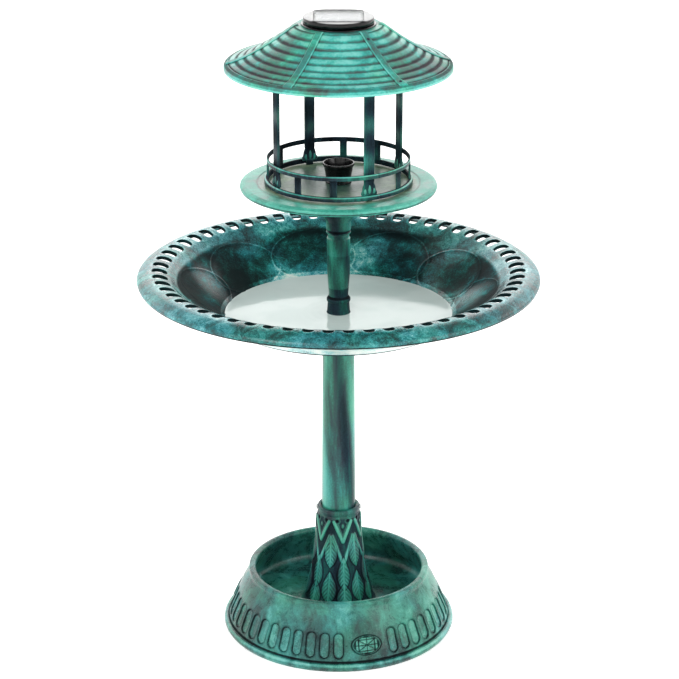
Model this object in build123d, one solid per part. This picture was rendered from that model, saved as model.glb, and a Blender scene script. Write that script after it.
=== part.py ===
from build123d import *
import math
import os

# Three-tier garden bird bath: a planter base, a pole, a wide basin, and a
# pavilion-shaped feeder station with a solar light in its roof.
# Millimetres. +Z is up, the origin is on the ground at the centre of the base,
# and -Y is the front. Angles are degrees about +Z, measured from +X.

# ---------------------------------------------------------------- dimensions
GAP = 0.3                 # between faces of pieces that move against each other
HOLE_CLEARANCE = 0.1      # round a screw's shank

BASE_R = 191.5            # widest radius of the foot rim
BASE_WALL = 6.0
PLANTER_LIP_R = 143.0
PLANTER_LIP_Z = 103.0
PLANTER_FLOOR_Z = 34.0
PLANTER_FLOOR_T = 4.0
WALL_LOW = (182.0, 17.0)  # lower end of the sloping planter wall (radius, height)
WALL_KNEE = (172.5, 42.0)
WALL_HIGH = (147.5, 92.0)
FLUTE_LOW = (181.0, 20.0)  # ends of a flute along the wall
FLUTE_HIGH = (165.0, 57.5)
FLUTE_PITCH = 7.5
FLUTE_ARC_R = 10.9
FLUTE_DEPTH = 3.0
MEDALLION_WIDE = 46.0
MEDALLION_TALL = 32.0
MEDALLION_ANGLES = (285.0, 165.0, 45.0)
FLUTES_PER_MEDALLION = 3  # flutes left out to make room for each medallion

COLLAR_TOP_Z = 211.0
COLLAR_TOP_R = 34.3
COLLAR_FLANGE_R = 62.0
POLE_BOTTOM_Z = 130.0
POLE_BOTTOM_R = 27.9
POLE_TOP_Z = 534.0
POLE_TOP_R = 25.4
POLE_WALL = 3.0

BASIN_R = 320.0
BASIN_EDGE_Z = 609.0
BASIN_CREST_R = 289.0
BASIN_CREST_Z = 622.0
BASIN_INNER_R = 260.7     # where the rim turns down into the bowl
BASIN_INNER_Z = 608.6
BASIN_FLOOR_Z = 543.0
BASIN_FLOOR_T = 3.0
BASIN_WALL = 5.0
BASIN_FLOOR_R = 177.0
BASIN_FOOT_R = 171.5
BASIN_FOOT_Z = 538.5
SLOT_COUNT = 60
SLOT_R = 283.0
SLOT_LONG = 24.0
SLOT_WIDE = 16.8
SLOT_CORNER = 7.0
WATER_Z = 547.0

HUB_R = 26.0
HUB_FLANGE_T = 1.5
HUB_LOW_R = 18.4          # just above the flange
HUB_TOP_Z = 565.5
HUB_TOP_R = 17.2
HUB_BORE_R = 10.0
SPIGOT_R = 10.5
SPIGOT_TOP_Z = 600.0
SEAL_T = 1.0

UPPER_POLE_TOP_Z = 672.4
UPPER_POLE_R = 18.5
TRAY_R = 154.4
TRAY_Z = 764.0
TRAY_RECESS_R = 127.0
TRAY_RECESS_Z = 763.0
TRAY_EDGE_Z = 753.9
TRAY_T = 3.0
SOCKET_FLANGE_R = 58.0
SOCKET_FLANGE_Z = 751.0
SOCKET_TOP_Z = 754.0
TENON_R = 13.5

CUP_TOP_R = 25.0
CUP_BOTTOM_R = 18.6
CUP_H = 32.0
CUP_WALL = 2.0

POST_FIRST = 26.0
POST_R = 105.7
POST_WIDE = 17.3
POST_T = 5.0
POST_TOP_Z = 975.0
RAIL_IN_R = 109.1
RAIL_OUT_R = 116.2        # of the lower rail
RAIL_HIGH_OUT_R = 112.2
RAIL_LOW_Z = 764.4
RAIL_BAR = 7.6            # height of both rails
RAIL_TOP_Z = 804.2
RAIL_JOINT = 7.0          # degrees from a post to the joint between two rails
BALUSTER_WIDE = 11.5

ROOF_R = 176.6
ROOF_TOP_R = 67.0
ROOF_TOP_Z = 1013.7
ROOF_EAVE_R = 174.0
ROOF_EAVE_Z = 955.0
ROOF_EDGE_Z = 944.5
ROOF_FLARE = 1.4          # exponent of the concave flare
ROOF_T = 2.8
ROOF_HOLE_R = 54.6
ROOF_CROWN_R = 64.0       # between the crown ring and the roof shell
ROOF_CROWN_T = 5.0
ROOF_COURSES = 8
ROOF_STEP = 1.0
RIB_FIRST = 4.0
RIB_WIDE = 11.5
RIB_HIGH = 2.0
RIB_FOOT_WIDE = 18.0

LIGHT_R = 54.8
LIGHT_TOP_Z = 1027.0
LIGHT_FLANGE_R = 57.8
LIGHT_FLANGE_T = 2.5
SKIRT_IN_R = 51.3
LEDGE_IN_R = 49.3
PLUG_R = 48.9
DRUM_IN_R = 46.4
DRUM_STEP_R = 47.6         # the drum's top edge, stepped into the cap
PLUG_BOTTOM_Z = 988.0
PANEL_SIDE = 76.0
PANEL_CORNER = 8.0
PANEL_FLOOR_Z = 1022.5
SEAL_IN_R = 51.6
SEAL_OUT_R = 53.6
LUG_COUNT = 3             # bayonet lugs of the light, which hook under the collar's ledges
LUG_WIDE = 18.0           # degrees
LEDGE_GAP = 26.0
LEDGE_LOW_Z = 1000.0
LEDGE_T = 3.0
UNLOCK_TURN = 30.0
COVER_T = 3.0
SWITCH_X = 30.0
SWITCH_TRAVEL = 3.0
KNOB_LONG = 6.0
KNOB_WIDE = 4.0
BATTERY_R = 7.1
BATTERY_LONG = 49.5
BATTERY_Y = -18.0
BATTERY_Z = 1000.0
BOARD_Z = 1010.0

# Screws are (head radius, head height, shank radius, shank length).
COLLAR_SCREW = (4.0, 2.5, 2.0, 12.0)
COLLAR_SCREW_R = 50.0
POLE_SCREW = (4.5, 2.5, 2.2, 9.0)
POLE_SCREW_Z = 206.0
SOCKET_SCREW = (3.5, 2.0, 1.6, 8.0)
SOCKET_SCREW_R = 48.0
POST_SCREW = (3.2, 1.8, 1.6, 12.0)
RIB_SCREW = (2.6, 1.5, 1.2, 1.6)
RIB_SCREW_RADII = (80.0, 164.0)
SCREWED_RIBS = (304.0, 124.0)
COVER_SCREW = (2.4, 1.4, 1.1, 9.0)
COVER_SCREW_R = 41.5
PIN_R = 1.4
PIN_LONG = 5.0

# Heights and slopes that follow from the dimensions above.
PLANTER_UNDER_Z = PLANTER_FLOOR_Z - PLANTER_FLOOR_T
FLUTE_SLOPE = math.degrees(math.atan2(FLUTE_HIGH[1] - FLUTE_LOW[1],
                                      FLUTE_LOW[0] - FLUTE_HIGH[0]))
BASIN_UNDER_Z = BASIN_FLOOR_Z - BASIN_FLOOR_T
HUB_BORE_FIT_R = HUB_BORE_R + 0.05
TRAY_UNDER_Z = TRAY_RECESS_Z - TRAY_T
ROOF_SCREW_Z = POST_TOP_Z + 3.0
FLANGE_TOP_Z = ROOF_TOP_Z + LIGHT_FLANGE_T
CAP_LOW_Z = FLANGE_TOP_Z + GAP
COVER_LOW_Z = PLUG_BOTTOM_Z - COVER_T


# ------------------------------------------------------------------- helpers
def turned(*outline):
    """Solid of revolution about +Z from a closed (radius, height) outline."""
    return revolve(Plane.XZ * make_face(Polyline(*outline, close=True)), Axis.Z)


def tube(outer, inner, low, high):
    """Straight ring about +Z between two heights."""
    return turned((inner, low), (outer, low), (outer, high), (inner, high))


def rod(radius, low, high, x=0.0, y=0.0):
    """Upright cylinder between two heights."""
    return Pos(x, y, (low + high) / 2) * Cylinder(radius, high - low)


def block(dx, dy, low, high, x=0.0, y=0.0):
    """Upright box between two heights, centred on x, y."""
    return Pos(x, y, (low + high) / 2) * Box(dx, dy, high - low)


def at_angle(shape, angle):
    """The shape turned about +Z from the +X direction."""
    return Rot(0, 0, angle) * shape


def around(shape, count, first=0.0):
    """Copies of the shape spaced evenly about +Z."""
    return [at_angle(shape, first + 360.0 * k / count) for k in range(count)]


def radial_plate(outline, width, angle=0.0):
    """Plate standing in the radial plane, with a (radius, height) outline."""
    face = Plane.XZ * make_face(Polyline(*outline, close=True))
    return at_angle(extrude(face, amount=width / 2, both=True), angle)


def arc_bar(inner, outer, low, high, start, end):
    """Piece of a ring between two angles."""
    span = end - start
    face = Plane.XZ * make_face(
        Polyline((inner, low), (outer, low), (outer, high), (inner, high), close=True))
    return at_angle(revolve(face, Axis.Z, span), start)


def screw(head_r, head_h, shank_r, shank_len):
    """Dome-headed screw: head above the origin, shank below it."""
    head = turned((0, 0), (head_r, 0), (head_r, head_h * 0.4),
                  (head_r * 0.6, head_h), (0, head_h))
    drive = Pos(0, 0, head_h) * (Box(head_r, head_r * 0.25, head_h * 0.5)
                                 + Box(head_r * 0.25, head_r, head_h * 0.5))
    return head - drive + rod(shank_r, -shank_len, 0)


def shank_hole(shank_r, shank_len):
    """Space that a screw's shank needs below its head."""
    return rod(shank_r + HOLE_CLEARANCE, -shank_len - HOLE_CLEARANCE, 0)


def upward(shape, radius, angle, z):
    """A screw placed at radius and angle, head down and shank pointing up."""
    return at_angle(Pos(radius, 0, z) * Rot(180, 0, 0) * shape, angle)


def inward(shape, radius, angle, z):
    """A screw placed head outward and shank pointing at the axis."""
    return at_angle(Pos(radius, 0, z) * Rot(0, 90, 0) * shape, angle)


def pole_r(z):
    """Outer radius of the tapering lower pole."""
    t = (z - POLE_BOTTOM_Z) / (POLE_TOP_Z - POLE_BOTTOM_Z)
    return POLE_BOTTOM_R + (POLE_TOP_R - POLE_BOTTOM_R) * t


def roof_z(r):
    """Height of the roof's outer surface, without its stepped courses."""
    t = max(ROOF_EAVE_R - r, 0.0) / (ROOF_EAVE_R - ROOF_TOP_R)
    return ROOF_EAVE_Z + (ROOF_TOP_Z - ROOF_EAVE_Z) * t ** ROOF_FLARE


# --------------------------------------------------------------------- base
def at_collar_screws(shape):
    """The shape at each of the four screws under the planter's floor."""
    return [upward(shape, COLLAR_SCREW_R, 45 + 90 * k, PLANTER_UNDER_Z) for k in range(4)]


def collar_screws():
    """Four screws up through the planter floor into the leaf collar's flange."""
    return at_collar_screws(screw(*COLLAR_SCREW))


def collar_screw_holes():
    """Space for the shanks of the collar's screws."""
    return at_collar_screws(shank_hole(*COLLAR_SCREW[2:]))


def on_wall(shape, angle):
    """Place a shape, built along +Z, square to the wall at the middle of the flutes."""
    r = (FLUTE_LOW[0] + FLUTE_HIGH[0]) / 2
    z = (FLUTE_LOW[1] + FLUTE_HIGH[1]) / 2
    return at_angle(Pos(r, 0, z) * Rot(0, FLUTE_SLOPE, 0) * shape, angle)


def flute_cutter():
    """Round-ended gouge that lies along the planter wall."""
    long = math.dist(FLUTE_LOW, FLUTE_HIGH) - 2 * FLUTE_ARC_R + 6
    stand_off = FLUTE_ARC_R - FLUTE_DEPTH
    bar = Rot(0, 90, 0) * Cylinder(FLUTE_ARC_R, long)
    ends = [Pos(x, 0, 0) * Sphere(FLUTE_ARC_R) for x in (-long / 2, long / 2)]
    return Pos(0, 0, stand_off) * (bar + ends)


def medallion():
    """Oval boss with a raised border, crossed by eight spokes; its long side is level."""
    half_tall, half_wide = MEDALLION_TALL / 2, MEDALLION_WIDE / 2
    border = 2.5
    disc = Pos(0, 0, -6) * extrude(Ellipse(half_tall, half_wide), 8.4)
    dish = Pos(0, 0, 1) * extrude(Ellipse(half_tall - border, half_wide - border), 2)
    spokes = [Box(MEDALLION_TALL - 1, 2.2, 1.6), Box(2.2, MEDALLION_WIDE - 1, 1.6)]
    spokes += [Rot(0, 0, a) * Box(MEDALLION_TALL + 2, 1.8, 1.6) for a in (55, -55)]
    return disc - dish + [Pos(0, 0, 1.2) * s for s in spokes]


def base_planter():
    """Hollow foot with a rolled rim, a fluted wall and an open planting trough."""
    shell = turned(
        (175, 0), (188, 0), (190.8, 2.5), (BASE_R, 6), (190, 10.5), (186.5, 13.5),
        (183.5, 13.5), WALL_LOW, (178.5, 28), WALL_KNEE, (159.5, 72), WALL_HIGH,
        (PLANTER_LIP_R + 5, 98), (PLANTER_LIP_R, PLANTER_LIP_Z), (PLANTER_LIP_R - 6, 98),
        (WALL_HIGH[0] - BASE_WALL - 2, 90), (WALL_KNEE[0] - BASE_WALL - 3, 44),
        (155, PLANTER_FLOOR_Z), (24, PLANTER_FLOOR_Z), (24, PLANTER_UNDER_Z),
        (166, PLANTER_UNDER_Z), (174, 18),
    )
    flute = flute_cutter()
    flutes = []
    for k in range(round(360 / FLUTE_PITCH)):
        angle = k * FLUTE_PITCH
        nearest = min(abs((angle - m + 180) % 360 - 180) for m in MEDALLION_ANGLES)
        if nearest > FLUTE_PITCH * FLUTES_PER_MEDALLION / 2:
            flutes.append(on_wall(flute, angle))
    rib = [(30, 8), (176, 4), (175, 18), (166, 31), (30, 31)]
    shell += [radial_plate(rib, 4, 22.5 + 45 * k) for k in range(8)]
    shell += tube(34, 30, 8, 31)
    shell -= flutes
    for angle in MEDALLION_ANGLES:
        shell += on_wall(medallion(), angle)
    return shell - collar_screw_holes()


def at_pole_screws(shape):
    """The shape at each of the two screws through the collar's lip."""
    return [inward(shape, COLLAR_TOP_R, 180 * k, POLE_SCREW_Z) for k in range(2)]


def leaf_collar():
    """Tall bell-shaped socket, leaf-carved outside, that holds the pole's foot."""
    low = PLANTER_FLOOR_Z
    bell = turned(
        (54, low), (COLLAR_FLANGE_R, low), (COLLAR_FLANGE_R, low + 6), (57, low + 9),
        (46, 90), (37.1, 153), (34.5, 196), (32.6, 200), (COLLAR_TOP_R, 203),
        (COLLAR_TOP_R, COLLAR_TOP_Z - 1.5), (COLLAR_TOP_R - 1.5, COLLAR_TOP_Z),
        (pole_r(COLLAR_TOP_Z) + 0.2, COLLAR_TOP_Z),
        (pole_r(POLE_BOTTOM_Z) + 0.2, POLE_BOTTOM_Z), (24, POLE_BOTTOM_Z),
        (24, POLE_BOTTOM_Z - 6), (41, 90), (44, low + 14), (44, low + 8), (44, low),
    )
    leaf = [(44, low + 12), (52, low + 16), (50.5, 80), (44, 104), (40, 108)]
    bell += [radial_plate(leaf, 9, 36 * k) for k in range(10)]
    shallow = [(37, 150), (38.4, 152), (36.6, 190), (33.5, 194)]
    bell += [radial_plate(shallow, 5, 18 + 36 * k) for k in range(10)]
    return bell - collar_screw_holes() - at_pole_screws(shank_hole(*POLE_SCREW[2:]))


def pole_screws():
    """Two screws through the collar's lip into the pole."""
    return at_pole_screws(screw(*POLE_SCREW))


def lower_pole():
    """Tapered hollow pole between the leaf collar and the basin."""
    shell = turned(
        (POLE_BOTTOM_R - POLE_WALL, POLE_BOTTOM_Z), (POLE_BOTTOM_R, POLE_BOTTOM_Z),
        (POLE_TOP_R, POLE_TOP_Z), (POLE_TOP_R - POLE_WALL, POLE_TOP_Z))
    return shell - at_pole_screws(shank_hole(*POLE_SCREW[2:]))


# -------------------------------------------------------------------- basin
def pole_top_plug():
    """Threaded cap in the pole's top, which the hub bolt screws into."""
    low = POLE_TOP_Z - 34
    fit = pole_r(low) - POLE_WALL - 0.7
    return turned(
        (HUB_BORE_FIT_R, low), (fit, low), (fit - 0.2, POLE_TOP_Z), (36, POLE_TOP_Z),
        (36, BASIN_UNDER_Z), (HUB_BORE_FIT_R, BASIN_UNDER_Z))


def basin_outline():
    """Half section of the basin: wide convex rim, sloping wall, flat floor and foot."""
    crest = (BASIN_CREST_R, BASIN_CREST_Z)
    inner = (BASIN_INNER_R, BASIN_INNER_Z)
    lip = (316.0, 613.5)
    floor_edge = (BASIN_FLOOR_R, BASIN_FLOOR_Z)
    under = BASIN_UNDER_Z
    hole = (HUB_BORE_FIT_R, BASIN_FLOOR_Z)
    top = ThreePointArc(lip, crest, inner)
    bottom_in = (BASIN_INNER_R + 3.2, BASIN_INNER_Z - BASIN_WALL)
    lip_under = (313.2, 608.5)
    lines = [
        Polyline(hole, floor_edge, inner),
        top,
        ThreePointArc(lip, (BASIN_R, BASIN_EDGE_Z), (318.0, 603.5)),
        Polyline((318.0, 603.5), (315.5, 603.5), lip_under),
        ThreePointArc(lip_under, (BASIN_CREST_R, BASIN_CREST_Z - BASIN_WALL), bottom_in),
        Polyline(bottom_in, (BASIN_FLOOR_R + 2.5, under), (BASIN_FOOT_R, under),
                 (BASIN_FOOT_R, BASIN_FOOT_Z), (BASIN_FOOT_R - 7, BASIN_FOOT_Z),
                 (BASIN_FOOT_R - 7, under), (HUB_BORE_FIT_R, under), hole),
    ]
    return make_face(lines)


def basin():
    """Shallow water bowl with a wide pierced rim."""
    bowl = revolve(Plane.XZ * basin_outline(), Axis.Z)
    slot = extrude(Pos(SLOT_R, 0) * RectangleRounded(SLOT_LONG, SLOT_WIDE, SLOT_CORNER), 60)
    slot = Pos(0, 0, BASIN_CREST_Z - 40) * slot
    return bowl - around(slot, SLOT_COUNT, 180.0 / SLOT_COUNT)


def water_r():
    """Radius at which the water's surface meets the sloping wall."""
    slope = (BASIN_INNER_R - BASIN_FLOOR_R) / (BASIN_INNER_Z - BASIN_FLOOR_Z)
    return BASIN_FLOOR_R + (WATER_Z - BASIN_FLOOR_Z) * slope


def water():
    """Shallow layer of water lying on the basin's floor and over the hub's flange."""
    low = BASIN_FLOOR_Z + 0.01
    flange_top = BASIN_FLOOR_Z + SEAL_T + HUB_FLANGE_T + 1.0
    return turned((HUB_R + 0.1, low), (BASIN_FLOOR_R - 0.02, low), (water_r() - 0.02, WATER_Z),
                  (HUB_LOW_R + 0.1, WATER_Z), (HUB_LOW_R + 0.1, flange_top),
                  (HUB_R + 0.1, flange_top))


def hub_seal():
    """Rubber washer that keeps the water in, under the hub's flange."""
    return tube(HUB_R - 2, HUB_BORE_FIT_R, BASIN_FLOOR_Z, BASIN_FLOOR_Z + SEAL_T)


def basin_hub():
    """Hollow bolt that clamps the basin to the pole and carries the feeder station."""
    low = BASIN_FLOOR_Z + SEAL_T
    return turned(
        (6, POLE_TOP_Z - 30), (HUB_BORE_R, POLE_TOP_Z - 30), (HUB_BORE_R, low), (HUB_R, low),
        (HUB_R, low + HUB_FLANGE_T), (HUB_LOW_R, low + HUB_FLANGE_T + 1), (HUB_TOP_R, HUB_TOP_Z),
        (SPIGOT_R, HUB_TOP_Z),
        (SPIGOT_R, SPIGOT_TOP_Z - 2), (SPIGOT_R - 2, SPIGOT_TOP_Z), (6, SPIGOT_TOP_Z))


# ----------------------------------------------------------- feeder station
def upper_pole():
    """Turned tube that drops over the hub's spigot and carries the feeder tray."""
    low = HUB_TOP_Z
    bore = SPIGOT_R + GAP
    return turned(
        (bore, low), (18.2, low), (19, low + 1), (19, low + 5), (18.2, low + 6.3),
        (15.6, low + 9), (15.5, low + 12), (17.9, 612), (UPPER_POLE_R, UPPER_POLE_TOP_Z),
        (16.8, UPPER_POLE_TOP_Z), (16.8, 679), (TENON_R, 679), (TENON_R, 704), (bore, 704))


def at_socket_screws(shape, z=SOCKET_FLANGE_Z):
    """The shape at each of the three screws in the socket's flange."""
    return [upward(shape, SOCKET_SCREW_R, 30 + 120 * k, z) for k in range(3)]


def socket_screws():
    """Three screws up through the socket's flange into the tray."""
    return at_socket_screws(screw(*SOCKET_SCREW))


def socket_screw_holes():
    """Space for the shanks of the socket's screws."""
    return at_socket_screws(shank_hole(*SOCKET_SCREW[2:]))


def tray_socket():
    """Neck under the tray: a moulded ring, a collar and a bell that spreads to a flange."""
    body = turned(
        (TENON_R + 0.1, 679), (18.6, 679), (19.4, 680), (19.4, 682), (18.4, 683.2),
        (19.6, 685), (19.6, 699), (25.4, 709.7), (30, 728), (42, 745),
        (SOCKET_FLANGE_R, SOCKET_FLANGE_Z), (SOCKET_FLANGE_R, SOCKET_TOP_Z),
        (41, SOCKET_TOP_Z), (28, 732), (21.5, 708), (21.5, 704.1), (TENON_R + 0.1, 704.1))
    head_room = at_socket_screws(rod(SOCKET_SCREW[0] + 0.7, 0, 12))
    return body - head_room - socket_screw_holes()


def post_angles():
    return [POST_FIRST + 90 * k for k in range(4)]


def tray_post_screws():
    """Four screws up through the tray into the posts."""
    return [upward(screw(*POST_SCREW), POST_R, a, TRAY_UNDER_Z) for a in post_angles()]


def roof_post_screws():
    """Four screws down through the roof's bosses into the tops of the posts."""
    return [at_angle(Pos(POST_R, 0, ROOF_SCREW_Z) * screw(*POST_SCREW), a)
            for a in post_angles()]


def feeder_tray():
    """Round seed tray with a rolled rim, a shallow recess, a cup boss and ribs beneath."""
    top = turned(
        (0, TRAY_UNDER_Z), (148, TRAY_UNDER_Z), (150.4, 758.5),
        (150.4, TRAY_EDGE_Z), (152.6, TRAY_EDGE_Z), (TRAY_R, 756), (TRAY_R, 758.5),
        (152.8, 761.6), (148, 763.6), (143, TRAY_Z), (TRAY_RECESS_R + 1.5, TRAY_Z),
        (TRAY_RECESS_R, TRAY_RECESS_Z), (14, TRAY_RECESS_Z), (13.4, TRAY_RECESS_Z + 2.5),
        (0, TRAY_RECESS_Z + 2.5))
    rib = [(64, 755), (147, 757), (147, 761), (64, 761)]
    top += [radial_plate(rib, 2.5, 41 + 60 * k) for k in range(6)]
    top += at_socket_screws(rod(5.5, SOCKET_TOP_Z - TRAY_UNDER_Z - 0.5, 0), SOCKET_TOP_Z)
    hole = shank_hole(*POST_SCREW[2:])
    holes = [upward(hole, POST_R, a, TRAY_UNDER_Z) for a in post_angles()]
    return top - socket_screw_holes() - holes


def feeder_cup():
    """Conical seed cup that stands over the tray's boss."""
    z = TRAY_RECESS_Z + 0.2
    slope = (CUP_TOP_R - CUP_BOTTOM_R) / CUP_H
    return turned(
        (15, z), (CUP_BOTTOM_R + 2, z), (CUP_BOTTOM_R + 2, z + 2), (CUP_BOTTOM_R + 0.4, z + 4),
        (CUP_TOP_R - 2 * slope - 1, z + CUP_H - 3), (CUP_TOP_R, z + CUP_H - 2.5),
        (CUP_TOP_R, z + CUP_H), (CUP_TOP_R - CUP_WALL, z + CUP_H),
        (CUP_BOTTOM_R - CUP_WALL, z + 6), (0, z + 6), (0, z + 3.5), (15, z + 3.5))


def post(angle):
    """Flat upright with a grooved face, a flared foot and a narrow tenon."""
    half = POST_WIDE / 2
    face = make_face(Polyline(
        (-6, TRAY_RECESS_Z), (6, TRAY_RECESS_Z), (6, 770.5), (13, 771.5), (12, 776),
        (9.5, 781), (half, 790), (half, POST_TOP_Z), (-half, POST_TOP_Z), (-half, 790),
        (-9.5, 781), (-12, 776), (-13, 771.5), (-6, 770.5), close=True))
    body = Pos(POST_R, 0, 0) * extrude(Plane.YZ * face, amount=POST_T / 2, both=True)
    groove = block(1.2, 5.5, 812, 962, POST_R + POST_T / 2)
    body -= groove
    foot_hole = upward(shank_hole(*POST_SCREW[2:]), POST_R, 0, TRAY_UNDER_Z)
    top_hole = Pos(POST_R, 0, ROOF_SCREW_Z) * shank_hole(*POST_SCREW[2:])
    return at_angle(body - foot_hole - top_hole - rail_pin(0), angle)


def rail_pin(angle):
    """Pin from the upper rail into the post at an angle."""
    pin = Rot(0, 90, 0) * Cylinder(PIN_R, PIN_LONG)
    return at_angle(Pos((POST_R + RAIL_IN_R) / 2 + 1, 0, RAIL_TOP_Z - RAIL_BAR / 2) * pin, angle)


def rail_pins():
    """One pin at each post."""
    return [rail_pin(a) for a in post_angles()]


def railing(first_angle):
    """Quarter of the gallery: two curved bars joined by two balusters."""
    start = first_angle - 90 + RAIL_JOINT
    end = first_angle + RAIL_JOINT
    clear = 0.12
    low = arc_bar(RAIL_IN_R, RAIL_OUT_R, RAIL_LOW_Z, RAIL_LOW_Z + RAIL_BAR,
                  start + clear, end - clear)
    high = arc_bar(RAIL_IN_R, RAIL_HIGH_OUT_R, RAIL_TOP_Z - RAIL_BAR, RAIL_TOP_Z,
                   start + clear, end - clear)
    body = low + high
    upright = block(3.0, BALUSTER_WIDE, RAIL_LOW_Z + RAIL_BAR - 1, RAIL_TOP_Z - RAIL_BAR + 1,
                    RAIL_IN_R + 1.6)
    for step in (30, 60):
        body += at_angle(upright, first_angle - step)
    return body - rail_pins()


# --------------------------------------------------------------------- roof
def roof_outline():
    """Half section of the roof shell: lapped courses and a turned-down eave."""
    outer = [(ROOF_CROWN_R, ROOF_TOP_Z), (ROOF_TOP_R - 1, ROOF_TOP_Z)]
    pitch = (ROOF_EAVE_R - 4 - ROOF_TOP_R) / ROOF_COURSES
    for k in range(ROOF_COURSES):
        r = ROOF_TOP_R + k * pitch
        outer.append((r, roof_z(r) - ROOF_STEP / 2))
        outer.append((r + pitch, roof_z(r + pitch) + ROOF_STEP / 2))
    outer += [(ROOF_EAVE_R - 3.6, ROOF_EAVE_Z), (ROOF_EAVE_R, ROOF_EAVE_Z - 1),
              (ROOF_R, ROOF_EAVE_Z - 5), (ROOF_R, ROOF_EDGE_Z), (ROOF_R - 2.6, ROOF_EDGE_Z),
              (ROOF_R - 2.8, ROOF_EAVE_Z - 6), (ROOF_EAVE_R - 3, ROOF_EAVE_Z - 3.5)]
    inner = []
    for k in range(1, 7):
        r = ROOF_EAVE_R - 3 - k * (ROOF_EAVE_R - 3 - ROOF_TOP_R) / 6
        inner.append((r, roof_z(r) - ROOF_T - 0.9))
    inner += [(ROOF_CROWN_R, ROOF_TOP_Z - ROOF_CROWN_T)]
    return outer + inner


def roof_crown():
    """Flat ring in the top of the roof, with a flange beneath, that takes the light."""
    fit = ROOF_CROWN_R - 0.05
    step = ROOF_TOP_Z - ROOF_CROWN_T - 0.1
    return turned((ROOF_HOLE_R, step - 2), (fit + 2, step - 2), (fit + 2, step), (fit, step),
                  (fit, ROOF_TOP_Z), (ROOF_HOLE_R, ROOF_TOP_Z))


def on_rib(shape, r, angle):
    """Place a screw square to a rib's top face."""
    step = 2.0
    lean = math.degrees(math.atan2(roof_z(r - step) - roof_z(r + step), 2 * step))
    z = roof_z(r) + RIB_HIGH
    return at_angle(Pos(r, 0, z) * Rot(0, lean, 0) * shape, angle)


def roof_rib_screws():
    """Small dome screws at both ends of two of the ribs."""
    return [on_rib(screw(*RIB_SCREW), r, a) for a in SCREWED_RIBS for r in RIB_SCREW_RADII]


def roof():
    """Flared pagoda roof with lapped courses, six ribs and four post bosses."""
    shell = revolve(Plane.XZ * make_face(Polyline(*roof_outline(), close=True)), Axis.Z)
    radii = [ROOF_TOP_R - 3 + k * (ROOF_EAVE_R - 2 - ROOF_TOP_R) / 8 for k in range(9)]
    top = [(r, roof_z(max(r, ROOF_TOP_R)) + RIB_HIGH) for r in radii]
    under = [(r, roof_z(max(r, ROOF_TOP_R)) - 1.5) for r in radii]
    strip = top + list(reversed(under))
    foot = [(r, z) for r, z in strip if r > ROOF_EAVE_R - 20]
    for k in range(6):
        shell += radial_plate(strip, RIB_WIDE, RIB_FIRST + 60 * k)
        shell += radial_plate(foot, RIB_FOOT_WIDE, RIB_FIRST + 60 * k)
    inner, outer = POST_R - 5, POST_R + 5
    boss = [(inner, POST_TOP_Z), (outer, POST_TOP_Z), (outer, roof_z(outer) - 2),
            (inner, roof_z(inner) - 2)]
    for angle in post_angles():
        shell += radial_plate(boss, POST_WIDE + 6, angle)
        well = rod(POST_SCREW[0] + 0.4, ROOF_SCREW_Z, ROOF_TOP_Z, POST_R)
        hole = Pos(POST_R, 0, ROOF_SCREW_Z) * shank_hole(*POST_SCREW[2:])
        shell -= at_angle(well, angle)
        shell -= at_angle(hole, angle)
    return shell - roof_rib_screws()


# -------------------------------------------------------------- solar light
def light_collar():
    """Black ring that drops into the roof's opening and holds the light by a ledge."""
    ring = turned(
        (SKIRT_IN_R, 996), (ROOF_HOLE_R - GAP, 996), (ROOF_HOLE_R - GAP, ROOF_TOP_Z),
        (LIGHT_FLANGE_R, ROOF_TOP_Z), (LIGHT_FLANGE_R, FLANGE_TOP_Z - 0.6),
        (LIGHT_FLANGE_R - 0.6, FLANGE_TOP_Z), (SKIRT_IN_R, FLANGE_TOP_Z))
    span = 360 / LUG_COUNT - LEDGE_GAP
    for k in range(LUG_COUNT):
        middle = k * 360 / LUG_COUNT + LEDGE_GAP / 2 + span / 2 + UNLOCK_TURN
        ring += arc_bar(LEDGE_IN_R, SKIRT_IN_R + 0.5, LEDGE_LOW_Z, LEDGE_LOW_Z + LEDGE_T,
                        middle - span / 2, middle + span / 2)
    return ring


def cover_screw_angles():
    return [60 + 120 * k for k in range(3)]


def light_cap():
    """Round black cap with a square window recess in its top and a seal groove beneath."""
    cap = turned(
        (0, PANEL_FLOOR_Z - 2), (DRUM_STEP_R + 0.1, PANEL_FLOOR_Z - 2),
        (DRUM_STEP_R + 0.1, CAP_LOW_Z), (LIGHT_R, CAP_LOW_Z), (LIGHT_R, LIGHT_TOP_Z - 1.8),
        (LIGHT_R - 1.8, LIGHT_TOP_Z), (0, LIGHT_TOP_Z))
    window = RectangleRounded(PANEL_SIDE + 0.4, PANEL_SIDE + 0.4, PANEL_CORNER)
    cap -= Pos(0, 0, PANEL_FLOOR_Z) * extrude(window, LIGHT_TOP_Z - PANEL_FLOOR_Z + 1)
    return cap - tube(SEAL_OUT_R, SEAL_IN_R, CAP_LOW_Z - 1, CAP_LOW_Z + SEAL_T)


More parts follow.
